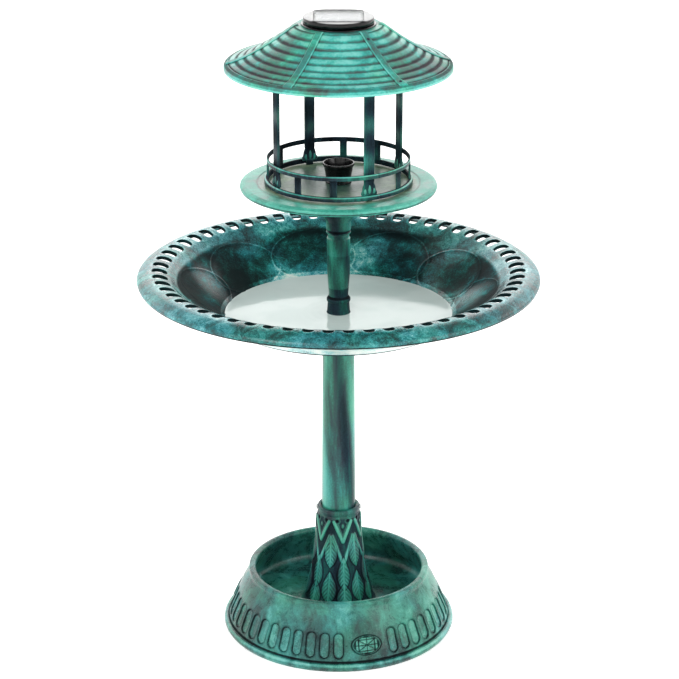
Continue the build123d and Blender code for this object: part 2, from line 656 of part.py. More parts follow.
def light_housing():
    """Drum under the cap, stepped into it, with three bayonet lugs and three screw bosses."""
    drum = turned(
        (DRUM_IN_R, PLUG_BOTTOM_Z), (PLUG_R, PLUG_BOTTOM_Z), (PLUG_R, CAP_LOW_Z),
        (DRUM_STEP_R, CAP_LOW_Z), (DRUM_STEP_R, PANEL_FLOOR_Z - 2), (DRUM_IN_R, PANEL_FLOOR_Z - 2))
    for k in range(LUG_COUNT):
        middle = k * 360 / LUG_COUNT
        drum += arc_bar(PLUG_R - 0.5, SKIRT_IN_R - 0.4, LEDGE_LOW_Z - GAP - 3,
                        LEDGE_LOW_Z - GAP, middle - LUG_WIDE / 2, middle + LUG_WIDE / 2)
    for angle in cover_screw_angles():
        boss = rod(3.4, PLUG_BOTTOM_Z, PLUG_BOTTOM_Z + 14, COVER_SCREW_R)
        web = block(6, 3, PLUG_BOTTOM_Z, PLUG_BOTTOM_Z + 14, COVER_SCREW_R + 4)
        drum += at_angle(boss + web, angle)
    return drum - cover_screw_holes()


def light_seal():
    """Rubber ring in a groove under the cap's edge."""
    return tube(SEAL_OUT_R, SEAL_IN_R, CAP_LOW_Z, CAP_LOW_Z + SEAL_T)


def solar_cell():
    """Square silicon cell on the floor of the cap's recess."""
    return block(70, 70, PANEL_FLOOR_Z, PANEL_FLOOR_Z + 1)


def panel_window():
    """Clear plate over the solar cell."""
    outline = RectangleRounded(PANEL_SIDE, PANEL_SIDE, PANEL_CORNER)
    return Pos(0, 0, PANEL_FLOOR_Z + 1) * extrude(outline, LIGHT_TOP_Z - 0.3 - PANEL_FLOOR_Z - 1)


def cover_screws():
    """Three screws up through the bottom cover."""
    return [upward(screw(*COVER_SCREW), COVER_SCREW_R, a, COVER_LOW_Z)
            for a in cover_screw_angles()]


def cover_screw_holes():
    hole = shank_hole(*COVER_SCREW[2:])
    return [upward(hole, COVER_SCREW_R, a, COVER_LOW_Z) for a in cover_screw_angles()]


def light_bottom_cover():
    """Disc that closes the plug, with a lens opening and a switch slot."""
    disc = tube(PLUG_R, 7.0, COVER_LOW_Z, PLUG_BOTTOM_Z)
    slot = block(KNOB_LONG + SWITCH_TRAVEL + 2 * GAP, KNOB_WIDE + 2 * GAP, COVER_LOW_Z - 1,
                 PLUG_BOTTOM_Z + 1, SWITCH_X + SWITCH_TRAVEL / 2)
    return disc - slot - cover_screw_holes()


def switch_body():
    """Fixed box of the slide switch, above its slot in the cover."""
    x = SWITCH_X + SWITCH_TRAVEL / 2
    box = block(16, 9, PLUG_BOTTOM_Z, PLUG_BOTTOM_Z + 6, x)
    return box - block(13.8, 7, PLUG_BOTTOM_Z - 1, PLUG_BOTTOM_Z + 3, x)


def power_switch():
    """Sliding knob of the switch, with the plate that keeps it in its box."""
    knob = block(KNOB_LONG, KNOB_WIDE, COVER_LOW_Z - 2.5, PLUG_BOTTOM_Z + 1, SWITCH_X)
    plate = block(KNOB_LONG + 4, 6, PLUG_BOTTOM_Z + GAP, PLUG_BOTTOM_Z + 2.5, SWITCH_X)
    return knob + plate


def circuit_board():
    """Round-cornered board with its charging chip."""
    board = Pos(0, 8, BOARD_Z) * extrude(RectangleRounded(46, 34, 3), 1.6)
    return board + block(8, 6, BOARD_Z - 2, BOARD_Z, 10, 14)


def led():
    """White LED on two long legs under the board."""
    body = rod(2.5, 979, 986) + Pos(0, 0, 979) * Sphere(2.5) + rod(2.9, 986, 987.2)
    legs = rod(0.5, 987, BOARD_Z, 1.27) + rod(0.5, 987, BOARD_Z, -1.27)
    return body + legs


def led_lens():
    """Frosted dome under the cover that spreads the light."""
    shell = turned(
        (6.9, COVER_LOW_Z), (24, COVER_LOW_Z), (24, COVER_LOW_Z - 2.5), (20, COVER_LOW_Z - 9),
        (12, COVER_LOW_Z - 14), (0, COVER_LOW_Z - 15.5), (0, COVER_LOW_Z - 14),
        (11, COVER_LOW_Z - 12.6), (18.5, COVER_LOW_Z - 8), (21.5, COVER_LOW_Z - 3.2),
        (21.5, COVER_LOW_Z - 1.5), (6.9, COVER_LOW_Z - 1.5))
    return shell


def battery():
    """Rechargeable AA cell lying along X."""
    can = Cylinder(BATTERY_R, BATTERY_LONG)
    button = Pos(0, 0, BATTERY_LONG / 2 + 0.5) * Cylinder(2.7, 1.0)
    return Pos(0, BATTERY_Y, BATTERY_Z) * Rot(0, 90, 0) * (can + button)


def battery_contacts():
    """Spring-steel plates at the two ends of the cell."""
    reach = BATTERY_LONG / 2
    plus = block(0.5, 9, BATTERY_Z - 6, BATTERY_Z + 8, reach + 1.3, BATTERY_Y)
    minus = block(0.5, 9, BATTERY_Z - 6, BATTERY_Z + 8, -reach - 0.3, BATTERY_Y)
    return [plus, minus]


# ------------------------------------------------------------------- export
def pieces():
    """Every node's name with its solid or solids."""
    nodes = {
        "base_planter": base_planter(),
        "leaf_collar": leaf_collar(),
        "collar_screws": collar_screws(),
        "lower_pole": lower_pole(),
        "pole_screws": pole_screws(),
        "pole_top_plug": pole_top_plug(),
        "basin": basin(),
        "water": water(),
        "hub_seal": hub_seal(),
        "basin_hub": basin_hub(),
        "upper_pole": upper_pole(),
        "tray_socket": tray_socket(),
        "socket_screws": socket_screws(),
        "feeder_tray": feeder_tray(),
        "feeder_cup": feeder_cup(),
        "tray_post_screws": tray_post_screws(),
        "roof_post_screws": roof_post_screws(),
        "rail_pins": rail_pins(),
        "roof": roof(),
        "roof_crown": roof_crown(),
        "roof_rib_screws": roof_rib_screws(),
        "light_collar": light_collar(),
        "light_cap": light_cap(),
        "light_housing": light_housing(),
        "light_seal": light_seal(),
        "solar_cell": solar_cell(),
        "panel_window": panel_window(),
        "circuit_board": circuit_board(),
        "led": led(),
        "led_lens": led_lens(),
        "battery": battery(),
        "battery_contacts": battery_contacts(),
        "light_bottom_cover": light_bottom_cover(),
        "cover_screws": cover_screws(),
        "switch_body": switch_body(),
        "power_switch": power_switch(),
    }
    for k, angle in enumerate(post_angles(), start=1):
        nodes[f"post_{k}"] = post(angle)
        nodes[f"railing_{k}"] = railing(angle)
    return nodes


os.makedirs("parts", exist_ok=True)
for name, shape in pieces().items():
    if isinstance(shape, list):
        shape = Compound(children=[s for item in shape for s in item.solids()])
    export_step(shape, f"parts/{name}.step")
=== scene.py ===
import math

import bmesh
import bpy
import numpy as np
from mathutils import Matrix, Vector


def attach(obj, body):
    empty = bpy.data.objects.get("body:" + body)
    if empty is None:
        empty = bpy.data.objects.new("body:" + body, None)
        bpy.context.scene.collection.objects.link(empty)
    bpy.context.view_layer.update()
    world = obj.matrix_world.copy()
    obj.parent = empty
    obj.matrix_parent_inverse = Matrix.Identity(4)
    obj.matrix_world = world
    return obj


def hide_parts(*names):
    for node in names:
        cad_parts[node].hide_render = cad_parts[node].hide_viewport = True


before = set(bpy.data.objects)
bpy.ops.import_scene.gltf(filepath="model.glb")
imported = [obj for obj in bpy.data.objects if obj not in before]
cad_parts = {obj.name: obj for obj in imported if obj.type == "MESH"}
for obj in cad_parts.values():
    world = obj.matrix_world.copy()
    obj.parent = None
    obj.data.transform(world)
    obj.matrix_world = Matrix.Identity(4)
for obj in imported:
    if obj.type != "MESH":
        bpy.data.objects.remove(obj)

# Looks for the garden bird bath. The moulded resin pieces are rebuilt here as fine
# meshes with rounded edges and their relief; screws and inner pieces keep their solids.
# Outlines are (radius, height) in millimetres, in the same frame as the solids.
MM = 0.001
TAU = 2 * math.pi
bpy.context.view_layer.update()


# ------------------------------------------------------------- mesh building
def orient(points):
    """The closed outline's points, turned to run counter-clockwise."""
    r, z = points[:, 0], points[:, 1]
    area = np.sum(r * np.roll(z, -1) - np.roll(r, -1) * z)
    return points if area > 0 else points[::-1]


def rounded(corners, step=3.0, closed=True):
    """Outline with each corner (r, z, fillet) rounded and long runs divided."""
    full = [(c[0], c[1], c[2] if len(c) > 2 else 0.0) for c in corners]
    count = len(full)
    path = []
    for i, (r, z, fillet) in enumerate(full):
        here = np.array([r, z])
        if fillet <= 0 or (not closed and i in (0, count - 1)):
            path.append(here)
            continue
        before = np.array(full[i - 1][:2]) - here
        after = np.array(full[(i + 1) % count][:2]) - here
        la, lb = np.linalg.norm(before), np.linalg.norm(after)
        before, after = before / la, after / lb
        cosine = np.clip(before @ after, -1, 1)
        half = math.acos(cosine) / 2
        reach = min(fillet / math.tan(half), 0.48 * la, 0.48 * lb)
        fillet = reach * math.tan(half)
        middle = here + (before + after) / np.linalg.norm(before + after) * fillet / math.sin(half)
        start, end = here + before * reach, here + after * reach
        a0 = math.atan2(*(start - middle)[::-1])
        sweep = (math.atan2(*(end - middle)[::-1]) - a0 + math.pi) % TAU - math.pi
        steps = max(2, round(abs(sweep) / 0.35), round(abs(sweep) * fillet / step))
        for k in range(steps + 1):
            a = a0 + sweep * k / steps
            path.append(middle + fillet * np.array([math.cos(a), math.sin(a)]))
    dense = []
    last = len(path) if closed else len(path) - 1
    for i in range(last):
        a, b = path[i], path[(i + 1) % len(path)]
        parts = max(1, math.ceil(np.linalg.norm(b - a) / step - 1e-6))
        dense += [a + (b - a) * k / parts for k in range(parts)]
    if not closed:
        dense.append(path[-1])
    return np.array(dense)


def outline_normals(points, closed=True):
    """Unit normals of an outline that runs counter-clockwise round its solid."""
    if closed:
        run = np.roll(points, -1, 0) - np.roll(points, 1, 0)
    else:
        run = np.gradient(points, axis=0)
    normal = np.stack([run[:, 1], -run[:, 0]], 1)
    return normal / np.maximum(np.linalg.norm(normal, axis=1, keepdims=True), 1e-9)


def mesh_object(name, verts, faces, smooth=True):
    """Mesh object from vertices in millimetres and lists of face corners."""
    mesh = bpy.data.meshes.new(name)
    mesh.from_pydata((np.asarray(verts) * MM).tolist(), [], faces)
    mesh.validate()
    mesh.polygons.foreach_set("use_smooth", [smooth] * len(mesh.polygons))
    obj = bpy.data.objects.new(name, mesh)
    bpy.context.collection.objects.link(obj)
    return obj


def grid_faces(rows, cols, wrap_rows, wrap_cols, first=0):
    """Quads of a grid of vertices, counted from its first vertex."""
    i = np.arange(rows if wrap_rows else rows - 1)
    j = np.arange(cols if wrap_cols else cols - 1)
    i, j = np.meshgrid(i, j, indexing="ij")
    up, across = (i + 1) % rows, (j + 1) % cols
    quads = np.stack([i * cols + j, i * cols + across, up * cols + across, up * cols + j], -1)
    return (quads.reshape(-1, 4) + first).tolist()


def set_tone(obj, values):
    """Store how dark or rubbed bright each vertex is, with painted shade and painted highlights in
    places, which the paint finishes read.
    """
    layer = obj.data.attributes.new("tone", "FLOAT", "POINT")
    layer.data.foreach_set("value", np.asarray(values, dtype=np.float32).ravel())


def lathe(name, corners, around=256, relief=None, step=3.0, closed=True):
    """Outline turned about +Z; relief(r, z, nr, nz, theta) gives its lift and tone."""
    points = rounded(corners, step, closed)
    if closed:
        points = orient(points)
    normals = outline_normals(points, closed)
    theta = np.arange(around) * TAU / around
    r, z = points[:, :1], points[:, 1:]
    nr, nz = normals[:, :1], normals[:, 1:]
    reliefs = relief(r, z, nr, nz, theta[None, :]) if relief else (0.0, 0.0)
    lift, tone = (np.broadcast_to(part, (len(points), around)) for part in reliefs)
    radius = np.maximum(r + nr * lift, 0)
    verts = np.stack([radius * np.cos(theta), radius * np.sin(theta), z + nz * lift], -1)
    faces = grid_faces(len(points), around, closed, True)
    obj = mesh_object(name, verts.reshape(-1, 3), faces)
    set_tone(obj, tone)
    return obj


def weld(obj, distance=1e-5):
    """Merge the vertices that coincide, as at an axis or where patches meet."""
    bm = bmesh.new()
    bm.from_mesh(obj.data)
    bmesh.ops.remove_doubles(bm, verts=bm.verts, dist=distance)
    bmesh.ops.dissolve_degenerate(bm, dist=1e-7, edges=bm.edges)
    bmesh.ops.recalc_face_normals(bm, faces=bm.faces)
    bm.to_mesh(obj.data)
    bm.free()
    return obj


def joined(name, objects):
    """One object from several."""
    bpy.ops.object.select_all(action="DESELECT")
    for o in objects:
        o.select_set(True)
    bpy.context.view_layer.objects.active = objects[0]
    bpy.ops.object.join()
    objects[0].name = name
    objects[0].data.name = name
    return objects[0]


def stacked(name, verts, around, tone):
    """Closed solid from rings of points stacked one on the next, with flat ends."""
    faces = grid_faces(len(verts) // around, around, False, True)
    faces += [list(range(around))[::-1], list(range(len(verts) - around, len(verts)))]
    obj = mesh_object(name, verts, faces)
    set_tone(obj, tone)
    return obj


def change_points(obj, change):
    """Pass a mesh's own vertices, in metres, through a function."""
    co = np.empty(len(obj.data.vertices) * 3)
    obj.data.vertices.foreach_get("co", co)
    obj.data.vertices.foreach_set("co", change(co.reshape(-1, 3)).ravel())
    obj.data.update()
    return obj


def turned(obj, angle):
    """Turn a mesh's own vertices about +Z by degrees."""
    c, s = math.cos(math.radians(angle)), math.sin(math.radians(angle))
    return change_points(obj, lambda co: np.stack(
        [co[:, 0] * c - co[:, 1] * s, co[:, 0] * s + co[:, 1] * c, co[:, 2]], 1))


def shifted(obj, radius, angle):
    """Move a mesh's own vertices out from the axis, in a direction in degrees."""
    a = math.radians(angle)
    move = np.array([radius * math.cos(a), radius * math.sin(a), 0]) * MM
    return change_points(obj, lambda co: co + move)


def smoothstep(low, high, x):
    """0 below low, 1 above high, and an even curve between."""
    t = np.clip((x - low) / (high - low), 0, 1)
    return t * t * (3 - 2 * t)


def near(distance, full, gone):
    """1 within the full distance of a line on either side, fading to 0 where it is gone."""
    return 1 - smoothstep(full, gone, np.abs(distance))


def angle_from(theta, degrees):
    """Signed angle in radians from a direction."""
    return (theta - math.radians(degrees) + math.pi) % TAU - math.pi


def ridge(distance, half_width, height):
    """Rounded ridge over a line at the given distance."""
    return height * near(distance, 0.25 * half_width, half_width)


def segment_distance(x, y, a, b):
    """Distance from points to a straight segment."""
    ax, ay = a
    bx, by = b[0] - ax, b[1] - ay
    t = np.clip(((x - ax) * bx + (y - ay) * by) / (bx * bx + by * by), 0, 1)
    return np.hypot(x - ax - t * bx, y - ay - t * by)


# ---------------------------------------------------------------- base
RELIEF_STEP = 1.3
FLUTE_PITCH = 7.5
MEDALLION_ANGLES = (285.0, 165.0, 45.0)
WALL_MID = (173.0, 38.75)
WALL_RUN = (-0.393, 0.920)


def medallion_relief(x, y):
    """Oval boss with a rolled border and a plain eight-spoked pattern; x is level.

    Like every relief here it gives the lift in millimetres and the tone, which is
    below zero where dark paint stays in a hollow and above where the rub is bright;
    some reliefs also put painted shade and painted highlights into the tone.
    """
    half_wide, half_tall = 24.0, 15.5
    edge = (1 - np.hypot(x / half_wide, y / half_tall)) * 16
    boss = 2.0 * smoothstep(-0.4, 0.9, edge)
    inside = smoothstep(2.4, 3.2, edge)
    lines = np.minimum(np.abs(x), np.abs(y))
    for slope in (0.62, -0.62):
        lines = np.minimum(lines, np.abs(y - slope * x) / math.hypot(1, slope))
    for half in (9.0, 12.6):
        lines = np.minimum(lines, np.abs(np.maximum(np.abs(x) * 0.68, np.abs(y)) - half))
    cut = inside * (1 - smoothstep(0.35, 0.9, lines))
    border = near(edge - 2.2, 0.5, 1.0)
    rim = near(edge + 0.2, 0.4, 1.6)
    tone = 0.55 * (edge > 0) - 1.5 * cut - 1.3 * border * (edge > 0) - 1.1 * rim
    return boss - 0.9 * cut - 0.6 * border * (edge > 0), tone


def base_relief(r, z, nr, nz, theta):
    """Round-ended flutes and three medallions on the outside of the planter wall."""
    up = (r - WALL_MID[0]) * WALL_RUN[0] + (z - WALL_MID[1]) * WALL_RUN[1]
    outside = smoothstep(0.35, 0.6, nr) * smoothstep(14, 16, z)
    k = np.round(np.degrees(theta) / FLUTE_PITCH)
    x = r * np.radians(np.degrees(theta) - k * FLUTE_PITCH)
    free = np.ones_like(x)
    lift, tone = np.zeros_like(x * up), np.zeros_like(x * up)
    for m in MEDALLION_ANGLES:
        away = np.abs(angle_from(np.radians(k * FLUTE_PITCH), m))
        free = free * (away > math.radians(FLUTE_PITCH * 1.5))
        boss, shade = medallion_relief(r * angle_from(theta, m), up + 0.6)
        lift, tone = lift + boss, tone + shade
    edge = 7.9 - np.hypot(x, np.maximum(np.abs(up) - 12.6, 0))
    flute = -2.0 * smoothstep(-0.4, 1.2, edge) - 0.9 * smoothstep(1.2, 7.5, edge)
    lip = 0.45 * near(edge + 1.0, 0.0, 1.5)
    line = near(edge - 0.4, 0.2, 0.8)
    between = (1 - smoothstep(1.0, 4.0, -edge)) * (edge < 0)
    shade = 0.25 * smoothstep(1.2, 3.0, edge) - 1.5 * line - 0.3 * between
    # Painted shade in the groove above the foot bead, and a painted highlight along the bead's rounded
    # top.
    groove = -1.5 * near(np.hypot(r - 183.6, z - 14.6), 0.8, 2.6)
    painted_bead_highlight = 0.8 * near(np.hypot(r - 189.5, z - 11.5), 1.5, 4.0)
    tone = outside * (tone + free * shade) + groove + painted_bead_highlight
    return outside * (lift + free * (flute + lip)), tone


def build_base():
    """Planter base: rolled foot rim, groove, fluted wall, lip, trough and ribs beneath."""
    outline = [
        (175, 0, 1), (187.5, 0, 2.5), (191.4, 6, 6), (189.5, 12.9, 4), (184.6, 12.6, 1.0),
        (182, 16.4, 1.0), (178.5, 28, 20), (172.5, 42, 40), (159.5, 72, 60), (147.5, 92, 6),
        (149, 97, 2), (148, 101.5, 2.5), (143, 103, 3), (138, 101, 2.5), (137, 97, 2),
        (139.5, 90, 3), (163.5, 44, 8), (156, 34, 8), (24, 34, 1), (24, 30, 1),
        (166, 30, 3), (174, 18, 3)]
    shell = lathe("base_shell", outline, around=1000, relief=base_relief, step=RELIEF_STEP)
    rib = [(30, 8), (176, 4), (175, 18), (166, 30.5), (30, 30.5)]
    ribs = [turned(plate("base_rib", rib, 4.0), 22.5 + 45 * k) for k in range(8)]
    ring = lathe("base_ring", [(30, 8, 0.8), (34, 8, 0.8), (34, 30.5), (30, 30.5)], around=96)
    return joined("base_shell", [shell, ring] + ribs)


def plate(name, outline, width):
    """Flat plate in the radial plane at angle 0, with a (radius, height) outline."""
    count = len(outline)
    verts = [(r, side * width / 2, z) for side in (-1, 1) for r, z in outline]
    faces = [list(range(count)), list(range(2 * count - 1, count - 1, -1))]
    faces += [[j, j + count, (j + 1) % count + count, (j + 1) % count] for j in range(count)]
    obj = mesh_object(name, verts, faces, smooth=False)
    set_tone(obj, np.zeros(2 * count))
    return weld(obj)


# ---------------------------------------------------------------- leaf collar
LEAF_PERIOD = 60.0
LEAF_FIRST = 281.0


def collar_relief(r, z, nr, nz, theta):
    """Swags, crossed V-shaped leaves with a drop between, and pointed leaves below."""
    sector = np.radians(LEAF_PERIOD)
    a = (theta - math.radians(LEAF_FIRST) + sector / 2) % sector - sector / 2
    x = np.abs(a) * r
    half = sector / 2 * r
    outside = smoothstep(0.5, 0.8, nr) * smoothstep(43, 50, z) * (z < 201)
    arm = segment_distance(x, z, (14.0, 193.0), (0.0, 158.0))
    inner = segment_distance(x, z, (8.5, 190.0), (0.0, 168.0))
    low_arm = segment_distance(x, z, (17.0, 168.0), (2.0, 124.0))
    vein = np.maximum(ridge(arm, 4.4, 2.5), ridge(low_arm, 4.4, 2.0))
    vein = np.maximum(vein, ridge(inner, 1.8, 1.1))
    drop = 1.7 * near(np.hypot(x, (z - 185.5) * 0.55), 0.8, 3.4)
    eye = near(np.hypot(x - 9.0, z - 194.0), 1.2, 3.4)
    curl = ridge(np.hypot(x - 9.0, z - 194.0) - 4.6, 2.0, 0.9)
    swag = ridge(z - 198.6 - 1.6 * np.cos(np.pi * x / half), 1.6, 0.9)
    leaf, deep = 0.0, 0.0
    for across, middle, tall, wide in ((half - x, 142.0, 30.0, 11.0), (x, 104.0, 30.0, 10.5),
                                       (half - x, 80.0, 28.0, 13.0), (x, 66.0, 22.0, 13.0)):
        body, hollow = blade(across, z, middle, tall, wide)
        leaf = np.maximum(leaf, body)
        deep = np.maximum(deep, hollow)
    lift = np.maximum.reduce([vein, curl, drop, swag, leaf]) - 1.3 * eye
    tone = 0.9 * smoothstep(0.9, 2.1, lift) - 0.5 * smoothstep(0.9, 0.2, lift) * (z < 197)
    tone = tone - 1.0 * eye - 0.6 * deep
    return outside * lift, outside * tone - 0.15


def blade(x, z, middle, half_tall, half_wide):
    """Pointed leaf with a raised rib: its lift, and where dark paint lies round its edge."""
    t = np.clip((z - middle) / half_tall, -1, 1)
    width = half_wide * (1 - t * t) ** 0.9 * (1 - 0.45 * t) + 1e-3
    inside = smoothstep(0.0, 2.0, width - x) * (np.abs(t) < 1)
    edge = near(width - x, 0.4, 1.8) * (np.abs(t) < 0.97)
    veins = 0.3 * np.cos((z + 1.3 * x) * TAU / 7.0) * smoothstep(1.2, 2.4, x)
    crown = 0.8 * (1 - np.clip(x / width, 0, 1) ** 2)
    return inside * (0.7 + crown + ridge(x, 1.3, 0.6) + veins), edge


def build_collar():
    """Bell-shaped pole socket with a rolled lip over its leaf carving."""
    outline = [
        (54, 34), (62, 34, 1), (62, 40, 2.5), (57, 43, 3), (46, 90, 90), (37.1, 153, 120),
        (34.3, 197, 8), (33.0, 200.2, 1.2), (34.2, 203, 1.2), (34.6, 206.5, 2.0),
        (33.9, 210.2, 2.0), (32.0, 211, 1.2), (29.4, 210.6, 0.8), (28.0, 208.6, 0.6),
        (28.1, 130), (24, 130, 0.5), (24, 124, 0.5), (41, 90), (44, 48)]
    return lathe("collar_shell", outline, around=640, relief=collar_relief, step=0.85)


# ---------------------------------------------------------------- poles and hub
def pole_relief(r, z, nr, nz, theta):
    """Tall dark and bright fields down the pole, twisting slightly as they fall."""
    a = theta + 0.0016 * (z - 330)
    wave = np.sin(a * 2 + 0.9) + 0.55 * np.sin(a * 5 + z * 0.011) + 0.4 * np.sin(z * 0.019 + a)
    return 0.0, 0.5 * wave + 0.25


def build_lower_pole():
    """The tapering tube between the collar and the basin."""
    return lathe("lower_pole_skin", [
        (24.9, 130, 0.3), (27.9, 130, 0.5), (25.4, 534, 0.5), (22.4, 534, 0.3)],
        around=160, relief=pole_relief, step=6.0)


def neck_relief(r, z, nr, nz, theta):
    """Dark rings in the hollows of the turned neck, bright fields along the pole."""
    groove = -1.4 * near(z - 684.2, 0.8, 2.8)
    ring = -1.2 * near(z - 573.5, 0.6, 2.4)
    wave = np.sin(theta * 2 - 0.6 + z * 0.012) + 0.6 * np.sin(z * 0.06 + theta * 3)
    bright = 0.45 * wave * (z > 575) - 0.5 * (z < 590) + 0.25 * (z > 645)
    return 0.0, groove + ring + bright


def build_poles():
    """The turned upper pole, the neck under the tray and the hub bolt."""
    upper = lathe("upper_pole_skin", [
        (10.8, 565.5, 0.3), (17.8, 565.5, 1.0), (19.0, 567.0, 1.5), (19.0, 570.4, 1.5),
        (17.4, 572.6, 1.0), (15.7, 574.8, 2.5), (15.5, 578.5, 5), (17.0, 598, 40),
        (17.9, 612, 60), (18.5, 671.4, 1.4), (17.4, 672.6, 0.6), (16.8, 673.2, 0.5),
        (16.8, 679), (13.5, 679), (13.5, 704), (10.8, 704)],
        around=192, relief=neck_relief, step=2.0)
    neck = lathe("tray_socket_skin", [
        (13.6, 679.1), (18.4, 679.1, 0.6), (19.4, 680.4, 0.8), (19.4, 682.4, 0.8),
        (18.1, 684.0, 0.6), (19.5, 686.0, 1.0), (19.6, 699, 3), (25.4, 709.7, 14),
        (30, 728, 20), (42, 745, 10), (57.5, 751, 1.5), (57.5, 753.8, 0.5), (41, 753.8, 3),
        (28, 732, 20), (21.5, 708, 4), (21.5, 704.1, 0.5), (13.6, 704.1)],
        around=192, relief=neck_relief, step=1.6)
    hub = lathe("hub_skin", [
        (6, 504), (10, 504, 0.5), (10, 544), (26, 544, 0.4), (26, 545.4, 0.6),
        (19.5, 546.2, 1.5), (18.2, 549, 4), (17.2, 565.4, 0.5), (10.4, 565.4, 0.3),
        (10.4, 598, 1), (8.5, 600, 1), (6, 600)], around=160, relief=neck_relief, step=2.0)
    return upper, neck, hub


# ---------------------------------------------------------------- basin
SLOTS = 60
SLOT_DIVISIONS = 16
CELL_SIDES = 10
RIM_IN, RIM_OUT = 266.0, 305.0
SLOT_R, SLOT_HALF_LONG, SLOT_HALF_WIDE = 283.0, 12.0, 8.4
SLOT_POWER = 3.2  # 2 would be an ellipse, more is squarer
PLAQUES, PLAQUE_FIRST = 10, 66.0
PLAQUE_HALF_WIDE, PLAQUE_HALF_TALL = 72.0, 48.0
FLOOR_R, FLOOR_Z = 177.0, 543.0
INNER_R, INNER_Z = 260.7, 608.6
WALL_LONG = math.hypot(INNER_R - FLOOR_R, INNER_Z - FLOOR_Z)


def circle_through(a, b, c):
    """Centre and radius of the circle through three points."""
    rows = np.array([[b[0] - a[0], b[1] - a[1]], [c[0] - a[0], c[1] - a[1]]])
    sums = np.array([b[0]**2 - a[0]**2 + b[1]**2 - a[1]**2, c[0]**2 - a[0]**2 + c[1]**2 - a[1]**2])
    centre = np.linalg.solve(rows, sums / 2)
    return centre, np.hypot(*(centre - np.array(a)))


RIM_TOP = circle_through((316.0, 613.5), (289.0, 622.0), (260.7, 608.6))
RIM_UNDER = circle_through((313.2, 608.5), (289.0, 617.0), (263.9, 603.6))


def on_circle(circle, r):
    """Height of the upper half of a circle at a radius from the axis."""
    (cr, cz), radius = circle
    return cz + np.sqrt(radius**2 - (np.asarray(r) - cr) ** 2)


def wall_relief(r, z, nr, nz, theta):
    """Ten big oval plaques outlined by fine ridges, each overlapping its neighbours.

    The wall and floor are dark, the plaques' middles half rubbed, the rim bright; the underside is
    painted pale as a reflection of the floor, with a painted shadow along the foot ring.
    """
    s = (r - FLOOR_R) / (INNER_R - FLOOR_R) * WALL_LONG
    on_wall = smoothstep(0.4, 0.6, nz) * smoothstep(0.3, 0.5, -nr)
    inside = on_wall * smoothstep(1, 5, s) * (1 - smoothstep(99, 104, s))
    lift, middle = 0.0, 0.0
    for k in range(PLAQUES):
        x = r * angle_from(theta, PLAQUE_FIRST + 360 / PLAQUES * k)
        y = s - PLAQUE_HALF_TALL
        edge = (1 - np.hypot(x / PLAQUE_HALF_WIDE, y / PLAQUE_HALF_TALL)) * 50.0
        lift = np.maximum(lift, ridge(edge, 1.8, 0.8 if k % 2 else 0.6))
        middle = np.maximum(middle, smoothstep(1, 9, edge) * (0.65 + 0.35 * (k % 2)))
    lift = lift - 0.3 * middle
    streak = 0.5 * np.sin(theta * 9 + 1.2) + 0.45 * np.sin(theta * 4 + s * 0.05)
    bowl = smoothstep(104, 92, s) * (nz > 0.2)
    back = 0.35 * np.cos(theta - math.radians(70))
    tone = bowl * (-1.15 + 0.45 * middle + streak * (1 - 0.4 * middle) + back + 0.5 * (s < 14))
    tone = tone + inside * 0.5 * smoothstep(0.3, 0.6, lift)
    # Below the bowl: a painted reflection of the bright floor, lighter overall and pale towards the
    # foot, and a painted shadow line along the foot ring.
    outer = smoothstep(0.2, -0.2, nz)
    foot = 3.2 * outer * smoothstep(545.5, 543.0, z) * (r > 160)
    pale = 0.9 * outer * smoothstep(235, 205, r)
    return inside * lift, tone + 0.35 * outer + pale - foot


def rim_relief(r, z, nr, nz, theta):
    """The rim's outer edge: bright on top, with a dark line of painted shade along its lower edge."""
    line = -1.4 * near(z - 604.4, 0.8, 2.0) * (r > 312)
    return 0.0, line


def slot_cells():
    """The pierced stretch of the rim: one ring of quads round each slot, top to bottom."""
    n, m = SLOT_DIVISIONS, CELL_SIDES
    half = math.pi / SLOTS
    grid = np.linspace(-half, half, n + 1)
    side = np.linspace(RIM_IN, RIM_OUT, m + 1)
    polar = [(RIM_OUT, a) for a in grid[:-1]] + [(r, half) for r in side[::-1][:-1]]
    polar += [(RIM_IN, a) for a in grid[::-1][:-1]] + [(r, -half) for r in side[:-1]]
    polar = np.array(polar)
    border = np.stack([polar[:, 0] * np.cos(polar[:, 1]), polar[:, 0] * np.sin(polar[:, 1])], 1)
    away = border - np.array([SLOT_R, 0])
    phi = np.arctan2(away[:, 1], away[:, 0])
    reach = (np.abs(np.cos(phi) / SLOT_HALF_LONG) ** SLOT_POWER
             + np.abs(np.sin(phi) / SLOT_HALF_WIDE) ** SLOT_POWER) ** (-1 / SLOT_POWER)
    ray = np.stack([np.cos(phi), np.sin(phi)], 1)

    def ring(grow):
        return np.array([SLOT_R, 0]) + ray * (reach + grow)[:, None]

    def row(xy, circle, drop):
        z = on_circle(circle, np.hypot(xy[:, 0], xy[:, 1])) + drop
        return np.column_stack([xy, z])

    rim_t, rim_u = RIM_TOP, RIM_UNDER
    rows = [row(border, rim_t, 0), row(border * 0.6 + ring(2.0) * 0.4, rim_t, 0),
            row(ring(2.0), rim_t, 0), row(ring(0.8), rim_t, -0.08), row(ring(0.2), rim_t, -0.35),
            row(ring(0.0), rim_t, -0.9), row(ring(-0.1), rim_u, 0.4), row(ring(0.2), rim_u, -0.6),
            row(ring(1.2), rim_u, -0.7), row(ring(1.6), rim_u, 0),
            row(border * 0.5 + ring(1.6) * 0.5, rim_u, 0), row(border, rim_u, 0)]
    # Tone per row, top to bottom: a little brighter round the slot on top, then painted shade down the
    # slot's wall and round its lower edge, slightly dark beneath.
    tone = [0, 0, 0.35, 0.2, -1.0, -1.6, -1.6, -1.4, -0.6, -0.2, -0.2, -0.2]
    return np.array(rows), np.array(tone)


